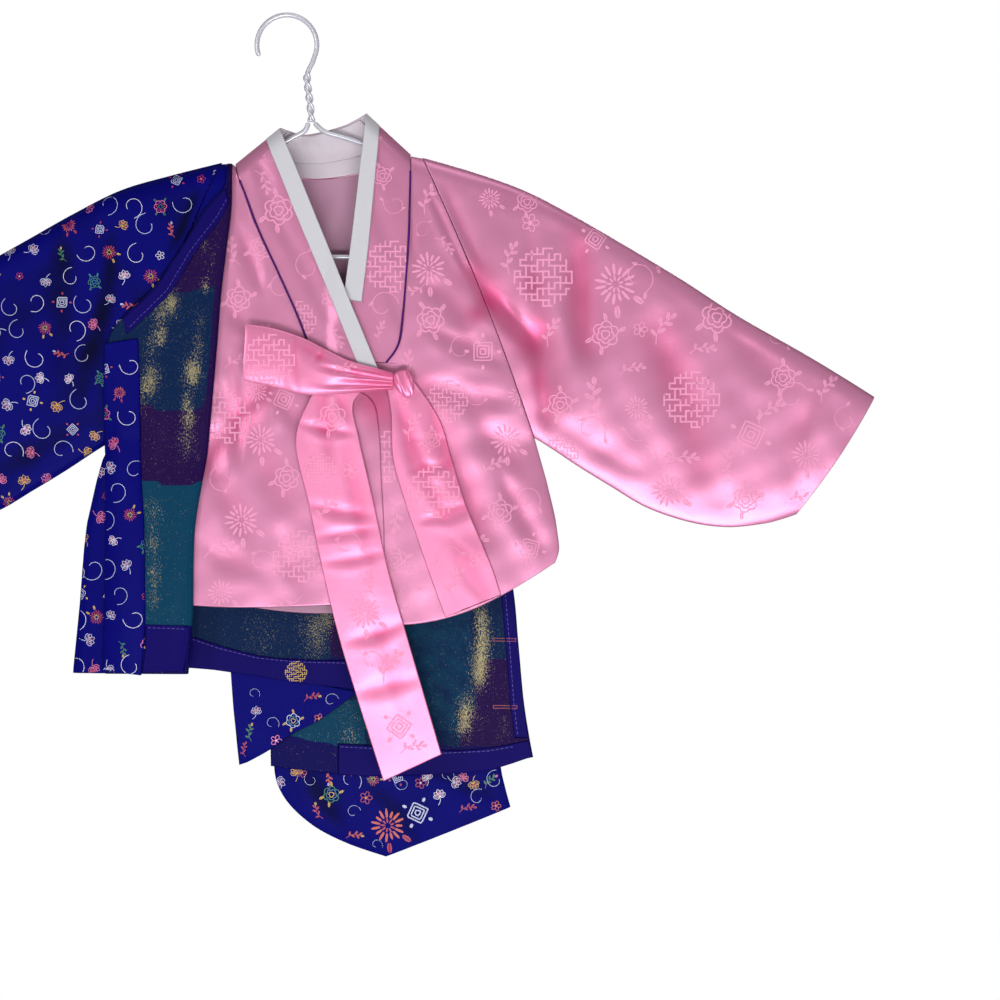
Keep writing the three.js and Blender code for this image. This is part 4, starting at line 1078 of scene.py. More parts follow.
# %% Coat: back, flap and right front
COAT_BACK = table(
    "az bx bz sag",
    (-117.4, -46.4, -117, 0), (-140, -38, -146, 0), (-171, -16, -186, 0), (-239, 14, -252, 0),
    (-300, 27, -310, 0), (-345, 36, -350, 0), (-425, 50, -430, 0), (-470, 57, -490, -2),
    (-517, 62, -541, -6),
)
HEM_FACING_BACK = table(
    "ax az bx bz",
    (-82, -494, -82, -519), (-55, -503, -55, -523), (-25, -511, -25, -527.4),
    (6, -514.4, 6, -532.6), (56, -515.4, 58, -538.4),
)
FLAP = table(
    "ax az bx bz sag",
    (-46, -524.6, 56, -540.6, -0.9), (-44, -552, 26, -562.4, 0), (-42, -571.6, 4, -574, 0),
    (-40.6, -586, -16, -587.6, 0), (-39.2, -598.8, -33, -597, 0),
)
COAT_RIGHT = table(
    "ax az bx bz sag",
    (46, -262, 106, -256, 0), (36, -300, 130, -292, 0), (26, -345, 150, -336, 0),
    (12, -400, 168, -395, 0), (-2, -455, 180.4, -454.8, 0), (-10, -500, 184.9, -500, 0),
    (-13, -545, 189, -545, 3), (-14.2, -575, 193.5, -575, 7), (-14, -600, 196.8, -592.4, 12),
)
EDGE_FACING = table(
    "ax az bx bz",
    (171, -456, 180, -455.6), (175, -500, 184.5, -500), (178.6, -545, 188.6, -545),
    (182, -577, 193, -577),
)
HEM_FACING_RIGHT = table(
    "ax az bx bz",
    (40, -582.4, 40, -607), (64.4, -583.6, 64.4, -608), (125.2, -587.4, 125.2, -606),
    (160, -585.4, 162, -602.6), (193.4, -579.4, 195.8, -592),
)


def coat_fine(x, z):
    """Fine creases of the coat's back and right half, below the jacket."""
    return (creases(x, z, CREASES_COAT) + ripple(x, z)) * ease((-z - 440) / 60)


def with_coat_side(row):
    return {**row, "ax": coat_side(row["az"])}


def coat_panel(name, rows, across, down, depth, fine, lift=0, **rest):
    """A wall on the coat's back or right half: how much of the fine creases it takes, and how far
    it lies in front."""
    panel(name, rows, across, down,
          lambda x, z, *_: depth(x, z) + fine * coat_fine(x, z) - lift, **rest)


ON_FACING = FACING + 0.4
coat_panel("coat_back", COAT_BACK, np.unique([0.015, *edged(50)]),
           closer_at_top(96), coat_back_y, 0.25, into=-1, fit=with_coat_side)
coat_panel("coat_facing_hem_back", HEM_FACING_BACK, edged(8, 0.03),
           edged(60), coat_back_y, 0.25, CLOTH + ON_FACING, thick=FACING)
coat_panel("coat_flap", FLAP, edged(36), edged(30), coat_back_y, 0.5,
           into=-1)
coat_panel("coat_front_right", COAT_RIGHT, edged(56), edged(90),
           coat_right_y, 0.25)
coat_panel("coat_facing_edge_right", EDGE_FACING, edged(4, 0.06),
           edged(50), coat_right_y, 0.25, ON_FACING, thick=FACING)
coat_panel("coat_facing_hem_right", HEM_FACING_RIGHT, edged(8, 0.03),
           edged(60), coat_right_y, 0.25, ON_FACING, thick=FACING)

# %% Coat: right sleeve
COAT_SLEEVE_RIGHT = table(
    "ax az bx bz",
    (58, -330, 132, -322), (34, -400, 152, -385), (10, -480, 163, -440), (-6, -560, 168, -500),
    (-12, -600, 169, -548), (-4, -626, 170, -580), (18, -648, 171, -602),
    (46, -663, 174.4, -618), (78, -674, 178.6, -633.4),
)
SLEEVE_HALF = 5


def hanging_sleeve(name, side):
    u, v = np.meshgrid(SLEEVE_ACROSS, edged(80))
    row = section(COAT_SLEEVE_RIGHT, v)
    x, z = mix(row["ax"], row["bx"], u), mix(row["az"], row["bz"], u)
    middle = coat_right_y(x, z) + CLOTH + 0.5 + SLEEVE_HALF + SEAM_DEPTH
    relief = (creases(x, z, CREASES_COAT) + ripple(x, z)) * clamp(np.minimum(u, 1 - u) * 9)
    half = SEAM_DEPTH + SLEEVE_HALF * np.sin(np.pi * u) ** 0.6 - 0.5 * relief
    # The last argument is painted shade in the sleeve's creases.
    sided_wall(name, x, middle + side * half, z, side, clamp(relief / 2))


hanging_sleeve("coat_sleeve_right_front", -1)
hanging_sleeve("coat_sleeve_right_back", 1)
print("coat made, pieces:", len(PIECES))

# %% [markdown]
# ## Hanger
# One coated wire makes the hook, and at its foot two strands are twisted together before they part
# into the arms.

# %% Hanger
WIRE_RADIUS = 2
HOOK_RADIUS = 22


def curve(rows, count):
    row = section(rows, even(count))
    return np.stack([row["x"], 0 * row["x"], row["z"]], -1)


angle = np.linspace(np.pi * 1.12, -0.25, 60)
ring = HOOK_RADIUS + WIRE_RADIUS
turn = np.stack([ring * np.cos(angle), 0 * angle, -HOOK_RADIUS + ring * np.sin(angle)], -1)
STEM = table("x z", (20.5, -36), (16.2, -46), (17, -58), (18.6, -70), (19.6, -83.5))
ARM_LEFT_NECK = table("x z", (17.1, -84.4), (14.2, -91), (3, -97), (-18, -110), (-35, -119))
ARM_RIGHT_NECK = table("x z", (22.1, -84.4), (30, -91.6), (44, -95.4), (70, -104), (90, -110.5))
ARM_LEFT_END = table("x z", (-136, -149), (-144, -158), (-147, -172), (-144, -185),
                     (-135.6, -191.2))
ARM_RIGHT_END = table("x z", (194, -147), (203, -158), (206, -172), (203, -185), (194.6, -191.2))
ARM_SEAT = 5.4
BAR_Z = -191.6


def under_shoulder(start, end, count):
    x = mix(start, end, even(count))
    return np.stack([x, 0 * x, shoulder_top(x) - ARM_SEAT], -1)


def smooth_line(points):
    """Halves the steps of a line twice and rounds its corners."""
    for _ in range(2):
        middle = (points[:-1] + points[1:]) / 2
        dense = np.empty((2 * len(points) - 1, 3))
        dense[::2], dense[1::2] = points, middle
        dense[2:-2:2] = (dense[1:-3:2] + 2 * dense[2:-2:2] + dense[3:-1:2]) / 4
        points = dense
    return points


tube("hanger_hook_wire", np.concatenate([turn, curve(STEM, 60)]), WIRE_RADIUS, 16)
for side, neck, span, end in (("left", ARM_LEFT_NECK, (-50, -124), ARM_LEFT_END),
                              ("right", ARM_RIGHT_NECK, (106, 186), ARM_RIGHT_END)):
    line = [curve(neck, 10), under_shoulder(*span, 6), curve(end, 10)]
    tube(f"hanger_arm_{side}_wire", smooth_line(np.concatenate(line)), WIRE_RADIUS, 14)
tube("hanger_bar_wire", [(x, 0, BAR_Z) for x in np.linspace(-133.6, 192.6, 20)], WIRE_RADIUS, 14)
TWIST_TURNS = 2.6
stem = curve(STEM, 60)[8:]
run = np.linspace(0, 1, len(stem))
for strand, start in (("a", 0), ("b", np.pi)):
    angle = start + 2 * np.pi * TWIST_TURNS * run
    spread = 1.9 * ease(run * 8)
    offset = np.stack([spread * np.cos(angle), spread * np.sin(angle), 0 * run], -1)
    tube(f"hanger_twist_{strand}", stem + offset, 1.35, 10)
print("hanger made, pieces:", len(PIECES))

# %% [markdown]
# ## Materials
# Node groups hold the effects that several cloths share: a fine weave for the Bump height, a slow
# unevenness of the colour with painted shade in the folds, and metal threads.

# %% Node groups
def new_group(name, inputs, output):
    """A group with named inputs and one output. The kind of an input follows from its default."""
    kinds = {type(None): "NodeSocketVector", float: "NodeSocketFloat", tuple: "NodeSocketColor"}
    tree = bpy.data.node_groups.new(name, "ShaderNodeTree")
    for label, value in inputs.items():
        socket = tree.interface.new_socket(label, in_out="INPUT", socket_type=kinds[type(value)])
        if value is not None:
            socket.default_value = value
    kind = "NodeSocketColor" if output == "Color" else "NodeSocketFloat"
    tree.interface.new_socket(output, in_out="OUTPUT", socket_type=kind)
    return tree, tree.nodes.new("NodeGroupInput").outputs, tree.nodes.new("NodeGroupOutput").inputs


def feed(tree, socket, value):
    """Gives a socket a plain value, or links another node's output to it."""
    if isinstance(value, bpy.types.NodeSocket):
        tree.links.new(value, socket)
    else:
        socket.default_value = value


def math_node(tree, operation, *values):
    node = tree.nodes.new("ShaderNodeMath")
    node.operation = operation
    for socket, value in zip(node.inputs, values):
        feed(tree, socket, value)
    return node.outputs[0]


def mix_node(tree, factor, first, second):
    node = tree.nodes.new("ShaderNodeMix")
    node.data_type = "RGBA"
    for label, value in (("Factor", factor), ("A", first), ("B", second)):
        feed(tree, node.inputs[label], value)
    return node.outputs["Result"]


def clamp_node(tree, value, most=1.0):
    node = tree.nodes.new("ShaderNodeClamp")
    node.inputs["Max"].default_value = most
    tree.links.new(value, node.inputs["Value"])
    return node.outputs[0]


def noise_node(tree, vector, scale, detail=2.0):
    node = tree.nodes.new("ShaderNodeTexNoise")
    node.inputs["Scale"].default_value = scale
    node.inputs["Detail"].default_value = detail
    tree.links.new(vector, node.inputs["Vector"])
    return node.outputs[0]


def attribute_node(tree, name):
    node = tree.nodes.new("ShaderNodeAttribute")
    node.attribute_name = name
    return node.outputs


def make_weave_group():
    """Threads along and across, and slubs: a height for Bump, from 0 to 1."""
    inputs = {"Vector": None, "Threads per metre": 1100.0, "Slub": 0.4}
    tree, given, result = new_group("Weave", inputs, "Height")
    split = tree.nodes.new("ShaderNodeSeparateXYZ")
    tree.links.new(given["Vector"], split.inputs[0])
    waves = []
    for axis in ("X", "Y"):
        turns = math_node(tree, "MULTIPLY", split.outputs[axis], given["Threads per metre"])
        waves.append(math_node(tree, "SINE", math_node(tree, "MULTIPLY", turns, 2 * math.pi)))
    woven = math_node(tree, "MULTIPLY", math_node(tree, "ADD", *waves), 0.25)
    slubs = noise_node(tree, given["Vector"], 420.0, 3.0)
    total = math_node(tree, "ADD", woven, math_node(tree, "MULTIPLY", slubs, given["Slub"]))
    tree.links.new(total, result["Height"])
    return tree


def make_shade_group():
    """Mixes two colours of a cloth by a slow cloud, and a third one, painted shade, into its folds.
    """
    plain = (1.0, 1.0, 1.0, 1.0)
    inputs = {"Vector": None, "Colour": plain, "Cloud colour": plain, "Cloud": 0.3,
              "Fold colour": plain, "Fold": 0.0}
    tree, given, result = new_group("Uneven dye", inputs, "Color")
    cloud = noise_node(tree, given["Vector"], 14.0, 3.0)
    amount = math_node(tree, "MULTIPLY", cloud, given["Cloud"])
    clouded = mix_node(tree, amount, given["Colour"], given["Cloud colour"])
    folded = mix_node(tree, given["Fold"], clouded, given["Fold colour"])
    tree.links.new(folded, result["Color"])
    return tree


def make_lame_group():
    """Where metal threads show, 0 to 1: grains in upright patches, denser with `Streak`, which
    carries the even threads and the painted glints.
    """
    tree, given, result = new_group("Metal threads", {"Vector": None, "Streak": 0.0}, "Mask")
    readings = []
    for scale, stretch, detail in ((1900.0, (1.0, 1.0, 0.4), 1.0), (42.0, (1.0, 1.0, 0.3), 2.0)):
        flattened = tree.nodes.new("ShaderNodeVectorMath")
        flattened.operation = "MULTIPLY"
        flattened.inputs[1].default_value = stretch
        tree.links.new(given["Vector"], flattened.inputs[0])
        readings.append(noise_node(tree, flattened.outputs[0], scale, detail))
    grain, patches = readings
    cover = math_node(tree, "ADD", math_node(tree, "MULTIPLY", patches, 1.1), 0.35)
    dense = math_node(tree, "MULTIPLY", cover, given["Streak"])
    level = math_node(tree, "SUBTRACT", 0.72, math_node(tree, "MULTIPLY", dense, 0.34))
    above = math_node(tree, "MULTIPLY", math_node(tree, "SUBTRACT", grain, level), 5.0)
    tree.links.new(clamp_node(tree, above, 0.85), result["Mask"])
    return tree


WEAVE, SHADE, LAME = make_weave_group(), make_shade_group(), make_lame_group()
print("node groups:", [group.name for group in (WEAVE, SHADE, LAME)])


# %% Cloth materials
def linear(*rgb):
    """A colour given as 0 to 255 sRGB values, as linear RGBA."""
    return (*[(value / 255 / 12.92) if value / 255 < 0.04045
              else ((value / 255 + 0.055) / 1.055) ** 2.4 for value in rgb], 1.0)


def start_material(name):
    material = bpy.data.materials.new(name)
    material.use_nodes = True
    tree = material.node_tree
    return material, tree, tree.nodes["Principled BSDF"]


def use_group(tree, group, **values):
    node = tree.nodes.new("ShaderNodeGroup")
    node.node_tree = group
    for label, value in values.items():
        feed(tree, node.inputs[label.replace("_", " ")], value)
    return node


def add_weave(tree, shader, coordinates, threads, slub, strength):
    weave = use_group(tree, WEAVE, Vector=coordinates, Threads_per_metre=threads, Slub=slub)
    bump = tree.nodes.new("ShaderNodeBump")
    bump.inputs["Strength"].default_value = strength
    bump.inputs["Distance"].default_value = 0.0002
    tree.links.new(weave.outputs["Height"], bump.inputs["Height"])
    tree.links.new(bump.outputs["Normal"], shader.inputs["Normal"])


CLOUD = 0.35  # how strongly a cloth's colour drifts


def cloth_material(name, colour, cloud_colour, fold_colour, roughness, sheen=0.0, specular=0.5,
                   tint=(255, 255, 255), threads=1100.0, slub=0.4, bump=0.25, metallic=0.0):
    """A woven cloth. Its colours are given as 0 to 255 sRGB values."""
    material, tree, shader = start_material(name)
    uv = tree.nodes.new("ShaderNodeUVMap")
    uv.uv_map = "cloth"
    place = tree.nodes.new("ShaderNodeTexCoord")
    shade = use_group(tree, SHADE, Vector=place.outputs["Object"], Colour=linear(*colour),
                      Cloud_colour=linear(*cloud_colour), Cloud=CLOUD,
                      Fold_colour=linear(*fold_colour), Fold=attribute_node(tree, "fold")["Fac"])
    tree.links.new(shade.outputs["Color"], shader.inputs["Base Color"])
    shader.inputs["Roughness"].default_value = roughness
    shader.inputs["Specular IOR Level"].default_value = specular
    shader.inputs["Specular Tint"].default_value = linear(*tint)
    shader.inputs["Sheen Weight"].default_value = sheen
    shader.inputs["Metallic"].default_value = metallic
    add_weave(tree, shader, uv.outputs["UV"], threads, slub, bump)
    return material


# The third colour of each cloth is painted shade, mixed into its folds by the fold attribute.
SATIN = cloth_material("pink_satin", (194, 122, 156), (204, 132, 166), (184, 62, 110), 0.33,
                       specular=1.0, tint=(255, 196, 232), bump=0.12, metallic=0.35)
DAMASK = cloth_material("pink_damask", (218, 142, 176), (222, 148, 182), (210, 104, 144), 0.75,
                        specular=0.15, bump=0.5, threads=700.0)
RIBBON = cloth_material("ribbon_satin", (214, 122, 162), (222, 134, 172), (204, 66, 118), 0.34,
                        specular=1.0, tint=(255, 196, 228), bump=0.12, metallic=0.3)
RIBBON_DAMASK = cloth_material("ribbon_damask", (228, 142, 178), (230, 148, 182), (216, 104, 146),
                               0.75, specular=0.15, bump=0.5, threads=700.0)
WHITE = cloth_material("white_cotton", (190, 188, 194), (178, 178, 186), (150, 148, 160), 0.85,
                       sheen=0.1, specular=0.2, threads=900.0, slub=0.8, bump=0.5)
NECK_SATIN = cloth_material("neck_satin", (190, 180, 190), (206, 196, 206), (160, 130, 150), 0.4,
                            sheen=0.1, specular=0.7)
BACK_LINING = cloth_material("jacket_lining", (166, 120, 146), (176, 132, 156), (150, 92, 122), 0.5,
                             specular=0.4)
PIPING = cloth_material("purple_cord", (62, 8, 92), (80, 18, 112), (40, 4, 60), 0.5, specular=0.15)
BROCADE = cloth_material("blue_brocade", (3, 3, 92), (6, 5, 118), (1, 1, 40), 0.5, specular=0.04,
                         threads=900.0, bump=0.4)
VIOLET = cloth_material("violet_facing", (12, 4, 82), (22, 8, 96), (5, 2, 44), 0.5, specular=0.04,
                        threads=900.0, bump=0.3)


def lining_material():
    """Thin blocks of teal and purple cloth, shot with gold thread."""
    material, tree, shader = start_material("block_lining")
    place = tree.nodes.new("ShaderNodeTexCoord").outputs["Object"]
    uv = tree.nodes.new("ShaderNodeUVMap")
    uv.uv_map = "cloth"
    wobble = math_node(tree, "SUBTRACT", noise_node(tree, place, 90.0), 0.5)
    wobble = math_node(tree, "MULTIPLY", wobble, 0.22)
    colour = linear(3, 28, 64)
    for name, target in (("purple", (28, 5, 60)), ("green", (2, 52, 78)), ("facing", (8, 4, 72))):
        edge = math_node(tree, "ADD", attribute_node(tree, name)["Fac"], wobble)
        crisp = math_node(tree, "MULTIPLY", math_node(tree, "SUBTRACT", edge, 0.45), 9.0)
        colour = mix_node(tree, clamp_node(tree, crisp), colour, linear(*target))
    # Gold where the metal threads lie, and more of it in the painted glints.
    lame = use_group(tree, LAME, Vector=place, Streak=attribute_node(tree, "lame")["Fac"])
    shining = mix_node(tree, lame.outputs["Mask"], colour, linear(158, 148, 106))
    tree.links.new(shining, shader.inputs["Base Color"])
    metal = math_node(tree, "MULTIPLY", lame.outputs["Mask"], 0.8)
    tree.links.new(metal, shader.inputs["Metallic"])
    shader.inputs["Roughness"].default_value = 0.5
    shader.inputs["Specular IOR Level"].default_value = 0.05
    add_weave(tree, shader, uv.outputs["UV"], 800.0, 0.5, 0.5)
    return material


LINING = lining_material()
# Coloured thread keeps its colour on the corners of each motif.
THREAD, thread_tree, thread_shader = start_material("silk_thread")
thread_colour = attribute_node(thread_tree, "thread")["Color"]
thread_tree.links.new(thread_colour, thread_shader.inputs["Base Color"])
thread_shader.inputs["Roughness"].default_value = 0.5
WIRE, wire_tree, wire_shader = start_material("coated_wire")
wire_shader.inputs["Base Color"].default_value = linear(196, 196, 206)
wire_shader.inputs["Metallic"].default_value = 0.35
scuffs = wire_tree.nodes.new("ShaderNodeTexCoord").outputs["Object"]
scuffs = math_node(wire_tree, "MULTIPLY", noise_node(wire_tree, scuffs, 260.0, 3.0), 0.25)
wire_tree.links.new(math_node(wire_tree, "ADD", scuffs, 0.2), wire_shader.inputs["Roughness"])
print("materials:", [material.name for material in bpy.data.materials])

# %% [markdown]
# The lining is pieced from blocks. Each row says where a block lies and how purple or green it is,
# and how thick its metal threads are. Where the metal catches the light, the threads are drawn
# denser: painted glints.

# %% Blocks of the lining
BLOCK_EDGE = 2.5
BLOCK = "low_x high_x low_z high_z purple green facing"
BLOCKS = {
    "coat_front_left": table(
        BLOCK,
        (-160, -40, -218, -100, 1, 0, 0), (-160, -40, -312, -218, 0, 0.3, 0),
        (-160, -40, -371, -312, 1, 0, 0), (-160, -40, -484, -371, 0, 1, 0),
        (-160, -40, -540, -484, 0, 0, 1),
    ),
    "coat_back": table(
        BLOCK,
        (34, 80, -520, -440, 1, 0, 0), (-160, 80, -560, -514, 0, 0, 1),
    ),
    "coat_front_right": table(
        BLOCK,
        (60, 149, -572, -430, 0, 0.5, 0), (-20, 62, -584, -545, 0, 1, 0),
        (152, 210, -620, -515, 1, 0, 0), (138, 160, -620, -552, 1, 0, 0),
        (-20, 210, -620, -584, 0, 0, 1),
    ),
}
# Painted glints: where the metal threads catch the light, they are drawn denser in gold.
GLINT_HEIGHT = 1.7  # a glint's height to its width
BARE = 0.1
GLINTS = {
    "coat_front_left": table(
        PAINTED_SPOT,
        (-64.5, -183, 4, 0.5), (-57.6, -197, 3, 0.4), (-63, -216, 4, 0.7), (-90.6, -229, 6, 1),
        (-100, -238, 6, 0.8), (-99, -255, 5, 0.9), (-107, -262, 6, 0.5), (-106, -289, 7, 0.8),
        (-114, -299, 8, 0.5), (-67, -244, 5, 0.4), (-68.6, -264, 5, 0.45), (-74, -285, 7, 0.9),
        (-79, -308, 4, 0.7), (-76, -320, 5, 0.8), (-78, -338, 8, 0.5), (-106, -395, 7, 0.5),
        (-105, -420, 7, 0.6), (-104, -445, 6, 0.6), (-104, -466, 6, 0.5),
    ),
    "coat_back": table(
        PAINTED_SPOT,
        (19.6, -489, 10, 0.6), (31, -481, 7, 0.6), (23.5, -506, 8, 0.4), (-20, -492, 14, 0.2),
    ),
    "coat_front_right": table(
        PAINTED_SPOT,
        (156, -479, 6, 1), (157, -495, 7, 1), (155, -512, 8, 1), (154, -528, 7, 0.9),
        (144, -555, 8, 0.9), (140, -571, 6, 0.6), (173, -571, 6, 0.3), (49, -575, 8, 0.35),
    ),
}


def soft_step(value, edge):
    return ease((value - edge) / BLOCK_EDGE + 0.5)


def piece_lining(name, rows):
    thing = PIECES[name + "_cloth"]
    points = np.empty(len(thing.data.vertices) * 3, np.float32)
    thing.data.vertices.foreach_get("co", points)
    x, _, z = points.reshape(-1, 3).T / MM
    shown = {key: np.zeros(len(x)) for key in ("purple", "green", "facing")}
    bowed = z + 3 * np.sin(x * 0.055) + 1.2 * np.sin(x * 0.14 + 1)  # the blocks' seams wander
    right = name == "coat_front_right"
    hem = z + (np.interp(x, (-20, 40), (-12, 0)) if right else 0)  # the hem band widens at its end
    for row in each_row(rows):
        inside = soft_step(x, row["low_x"]) * (1 - soft_step(x, row["high_x"]))
        level = hem if row["facing"] else bowed
        inside = inside * soft_step(level, row["low_z"]) * (1 - soft_step(level, row["high_z"]))
        for key in shown:
            shown[key] = mix(shown[key], row[key], inside)
    # Even metal threads, with the painted glints added on top.
    shown["lame"] = np.full(len(x), BARE)
    for row in each_row(GLINTS[name]):
        away = np.hypot(x - row["x"], (z - row["z"]) / GLINT_HEIGHT) / row["radius"]
        shown["lame"] += row["strength"] * np.exp(-away ** 2)
    if name == "coat_front_left":
        at_fold = soft_step(x, lookup(COAT_FRONT, "z", "fold", z) - 5)
        shown["purple"] = np.maximum(shown["purple"], at_fold)
        shown["lame"] = shown["lame"] * (1 - at_fold)
        beside = lookup(NECK_FACING, "az", "ax", z) + 2
        above = soft_step(z, NECK_FACING["az"][-1]) * soft_step(beside, x)
        shown["facing"] = np.maximum(shown["facing"], above)
    shown["lame"] *= 1 - shown["facing"]
    for key, values in shown.items():
        point_attribute(thing, key, values)


for name, rows in BLOCKS.items():
    piece_lining(name, rows)
print("lining blocks:", sum(len(rows["purple"]) for rows in BLOCKS.values()))

# %% [markdown]
# The face and the back of a wall may differ: brocade outside, lining inside. The edge takes the
# face's cloth.

# %% Give every piece its cloth
def dress(name, face, back=None):
    thing = PIECES[name]
    thing.data.materials.append(face)
    if back is not None:
        thing.data.materials.append(back)
        count = thing["face_quads"]
        slots = np.zeros(len(thing.data.polygons), np.int32)
        slots[count:2 * count] = 1
        thing.data.polygons.foreach_set("material_index", slots)


CLOTHS = (  # how a piece's name starts, its slot, its face and its back
    ("jeogori_", "satin", SATIN, BACK_LINING), ("sleeve_", "satin", SATIN, BACK_LINING),
    ("collar_back", "satin", SATIN, NECK_SATIN), ("collar_", "satin", SATIN),
    ("goreum_", "ribbon", RIBBON), ("dongjeong_", "white_band", WHITE),
    ("neck_facing", "neck_satin", NECK_SATIN), ("piping_", "piping", PIPING),
    ("hanger_", "wire", WIRE), ("coat_front_edge", "brocade", BROCADE),
    ("coat_facing_neck", "brocade", VIOLET), ("coat_facing_", "violet", VIOLET),
    ("coat_sleeve_", "brocade", BROCADE, LINING), ("coat_flap", "brocade", LINING, BROCADE),
    ("coat_back", "lining", BROCADE, LINING), ("coat_", "lining", LINING, BROCADE),
)


def cloth_of(name):
    return next(rest for start, *rest in CLOTHS if name.startswith(start))


for name in PIECES:
    dress(name, *cloth_of(name)[1:])
print("pieces dressed:", len(PIECES))

# %% [markdown]
# ## Woven motifs
# A motif is drawn flat, as threads of a given width and small filled shapes, and then laid on a
# cloth: each point finds the cloth with a ray along Y. Threads are closed, very low ridges.

# %% Drawing on cloth
THREAD_RISE = 0.13
RIBBON_RISE = 0.28  # the ribbons' creases are tighter
THREAD_SINK = 0.3
STEP = 2.2  # longest straight piece of a thread
SHORTEST = 0.4  # a shorter thread is left out
STEEP_THREAD, STEEP_FILL = 1.5, 2.5  # the most a motif's cloth may fall away under it
RAY_START = 0.3  # metres before the cloth


def points_at(path, run, at):
    return np.stack([np.interp(at, run, path[:, k]) for k in (0, 1)], -1)


class Weaving:
    """Collects threads and filled shapes that lie on one cloth, seen from the front or the rear."""

    def __init__(self, name, side=-1, rise=THREAD_RISE):
        self.name, self.side, self.rise = name, side, rise
        mesh = PIECES[name + "_cloth"].data
        points = [vertex.co for vertex in mesh.vertices]
        self.tree = BVHTree.FromPolygons(points, [tuple(face.vertices) for face in mesh.polygons])
        self.points = []
        self.faces, self.colours = {4: [], 3: []}, {4: [], 3: []}  # by the number of corners

    def on_cloth(self, places):
        heights = np.full(len(places), np.nan)
        for i, (x, z) in enumerate(places):
            start = Vector((x * MM, self.side * RAY_START, z * MM))
            hit = self.tree.ray_cast(start, Vector((0, -self.side, 0)))[0]
            if hit is not None:
                heights[i] = hit.y / MM
        return heights

    def add_points(self, places, heights, rise):
        first = len(self.points)
        self.points += [(x, y + self.side * rise, z) for (x, z), y in zip(places, heights)]
        return first

    def add_faces(self, faces, colour):
        for face in faces:
            self.faces[len(face)].append(face)
            self.colours[len(face)].append(colour)

    def stroke(self, path, width, colour, closed=False):
        path = np.asarray(path, float)
        if closed:
            path = np.concatenate([path, path[:1]])
        run = run_along(path)
        if run[-1] < SHORTEST:
            return
        count = max(1, round(run[-1] / STEP), min(len(path) - 1, 24))
        at = np.linspace(0, run[-1], count + 1)
        line = points_at(path, run, at)
        tangent = np.gradient(line, axis=0)
        tangent /= np.maximum(np.linalg.norm(tangent, axis=1, keepdims=True), 1e-6)
        normal = np.stack([-tangent[:, 1], tangent[:, 0]], -1) * width / 2
        left, right = line + normal, line - normal
        left_y, right_y = self.on_cloth(left), self.on_cloth(right)
        good = np.abs(left_y - right_y) < STEEP_THREAD  # also not where a ray misses the cloth
        starts = np.flatnonzero(good & ~np.concatenate([[False], good[:-1]]))
        ends = np.flatnonzero(good & ~np.concatenate([good[1:], [False]]))
        for start, end in zip(starts, ends):
            if end <= start:
                continue
            part = slice(start, end + 1)
            n = end - start + 1
            middle_y = (left_y[part] + right_y[part]) / 2
            rows = [
                self.add_points(left[part], left_y[part], self.rise),
                self.add_points(right[part], right_y[part], self.rise),
                self.add_points(line[part], middle_y, -THREAD_SINK),
            ]
            for k in range(3):
                a, b = rows[k], rows[(k + 1) % 3]
                self.add_faces([(a + i, a + i + 1, b + i + 1, b + i) for i in range(n - 1)], colour)
            self.add_faces([tuple(rows), tuple(row + n - 1 for row in rows[::-1])], colour)

    def fill(self, outline, colour):
        outline = np.asarray(outline, float)
        places = np.concatenate([outline, outline.mean(0, keepdims=True)])
        heights = self.on_cloth(places)
        if not np.ptp(heights) <= STEEP_FILL:  # also not where a ray misses the cloth
            return
        n = len(outline)
        top = self.add_points(places, heights, self.rise)
        low = self.add_points(places[-1:], heights[-1:], -THREAD_SINK)
        for i in range(n):
            j = (i + 1) % n
            self.add_faces([(top + i, top + j, top + n), (top + j, top + i, low)], colour)

    def build(self, ending, material):
        if not self.points:
            return
        kinds = [kind for kind, faces in self.faces.items() if faces]
        groups = [np.array(self.faces[kind]) for kind in kinds]
        thing = build_mesh(f"{self.name}_{ending}", self.points, groups, smooth=False)
        colours = np.concatenate([np.repeat(self.colours[kind], kind, axis=0) for kind in kinds])
        layer = thing.data.color_attributes.new("thread", "FLOAT_COLOR", "CORNER")
        if len(layer.data) == len(colours):
            layer.data.foreach_set("color", colours.astype(np.float32).ravel())
        lay_uv(thing, [(x, z) for x, _, z in self.points])
        point_attribute(thing, "fold", np.zeros(len(self.points)))
        make_normals_out(thing)
        thing.data.materials.append(material)


def make_normals_out(thing):
    shape = bmesh.new()
    shape.from_mesh(thing.data)
    bmesh.ops.recalc_face_normals(shape, faces=shape.faces)
    shape.to_mesh(thing.data)
    shape.free()


# %% [markdown]
# The motifs: a round medallion of fret work on a grid, and flowers, leaves, sprigs, scrolls and a
# lozenge, all drawn from a few curves.

# %% Motif library
FRET_NODES = 11  # crossings of the fret's grid across a medallion
FRET_ACROSS, FRET_DOWN = (0, 1, 2), (0, 1, 3)  # which of each five links are woven


def fret_chart():
    """Hooked links between the crossings of a grid, out to the medallion's edge."""
    count = 2 * FRET_NODES - 1
    chart = np.zeros((count, count), bool)
    for j in range(FRET_NODES):
        for i in range(FRET_NODES):
            if i < FRET_NODES - 1 and (i + 3 * j) % 5 in FRET_ACROSS:
                chart[2 * j, 2 * i:2 * i + 3] = True
            if j < FRET_NODES - 1 and (2 * i - j) % 5 in FRET_DOWN:
                chart[2 * j:2 * j + 3, 2 * i] = True
    away = np.hypot(*np.meshgrid(*[np.arange(count) - FRET_NODES + 1] * 2))
    return chart & (away <= FRET_NODES - 0.4)


FRET_CHART = fret_chart()


def polar(reach, angle):
    return np.stack([reach * np.cos(angle), reach * np.sin(angle)], -1)


def turned(path, x, z, turn):
    path = np.asarray(path, float)
    cos, sin = math.cos(turn), math.sin(turn)
    across, up = path[:, 0], path[:, 1]
    return np.stack([x + across * cos - up * sin, z + across * sin + up * cos], -1)


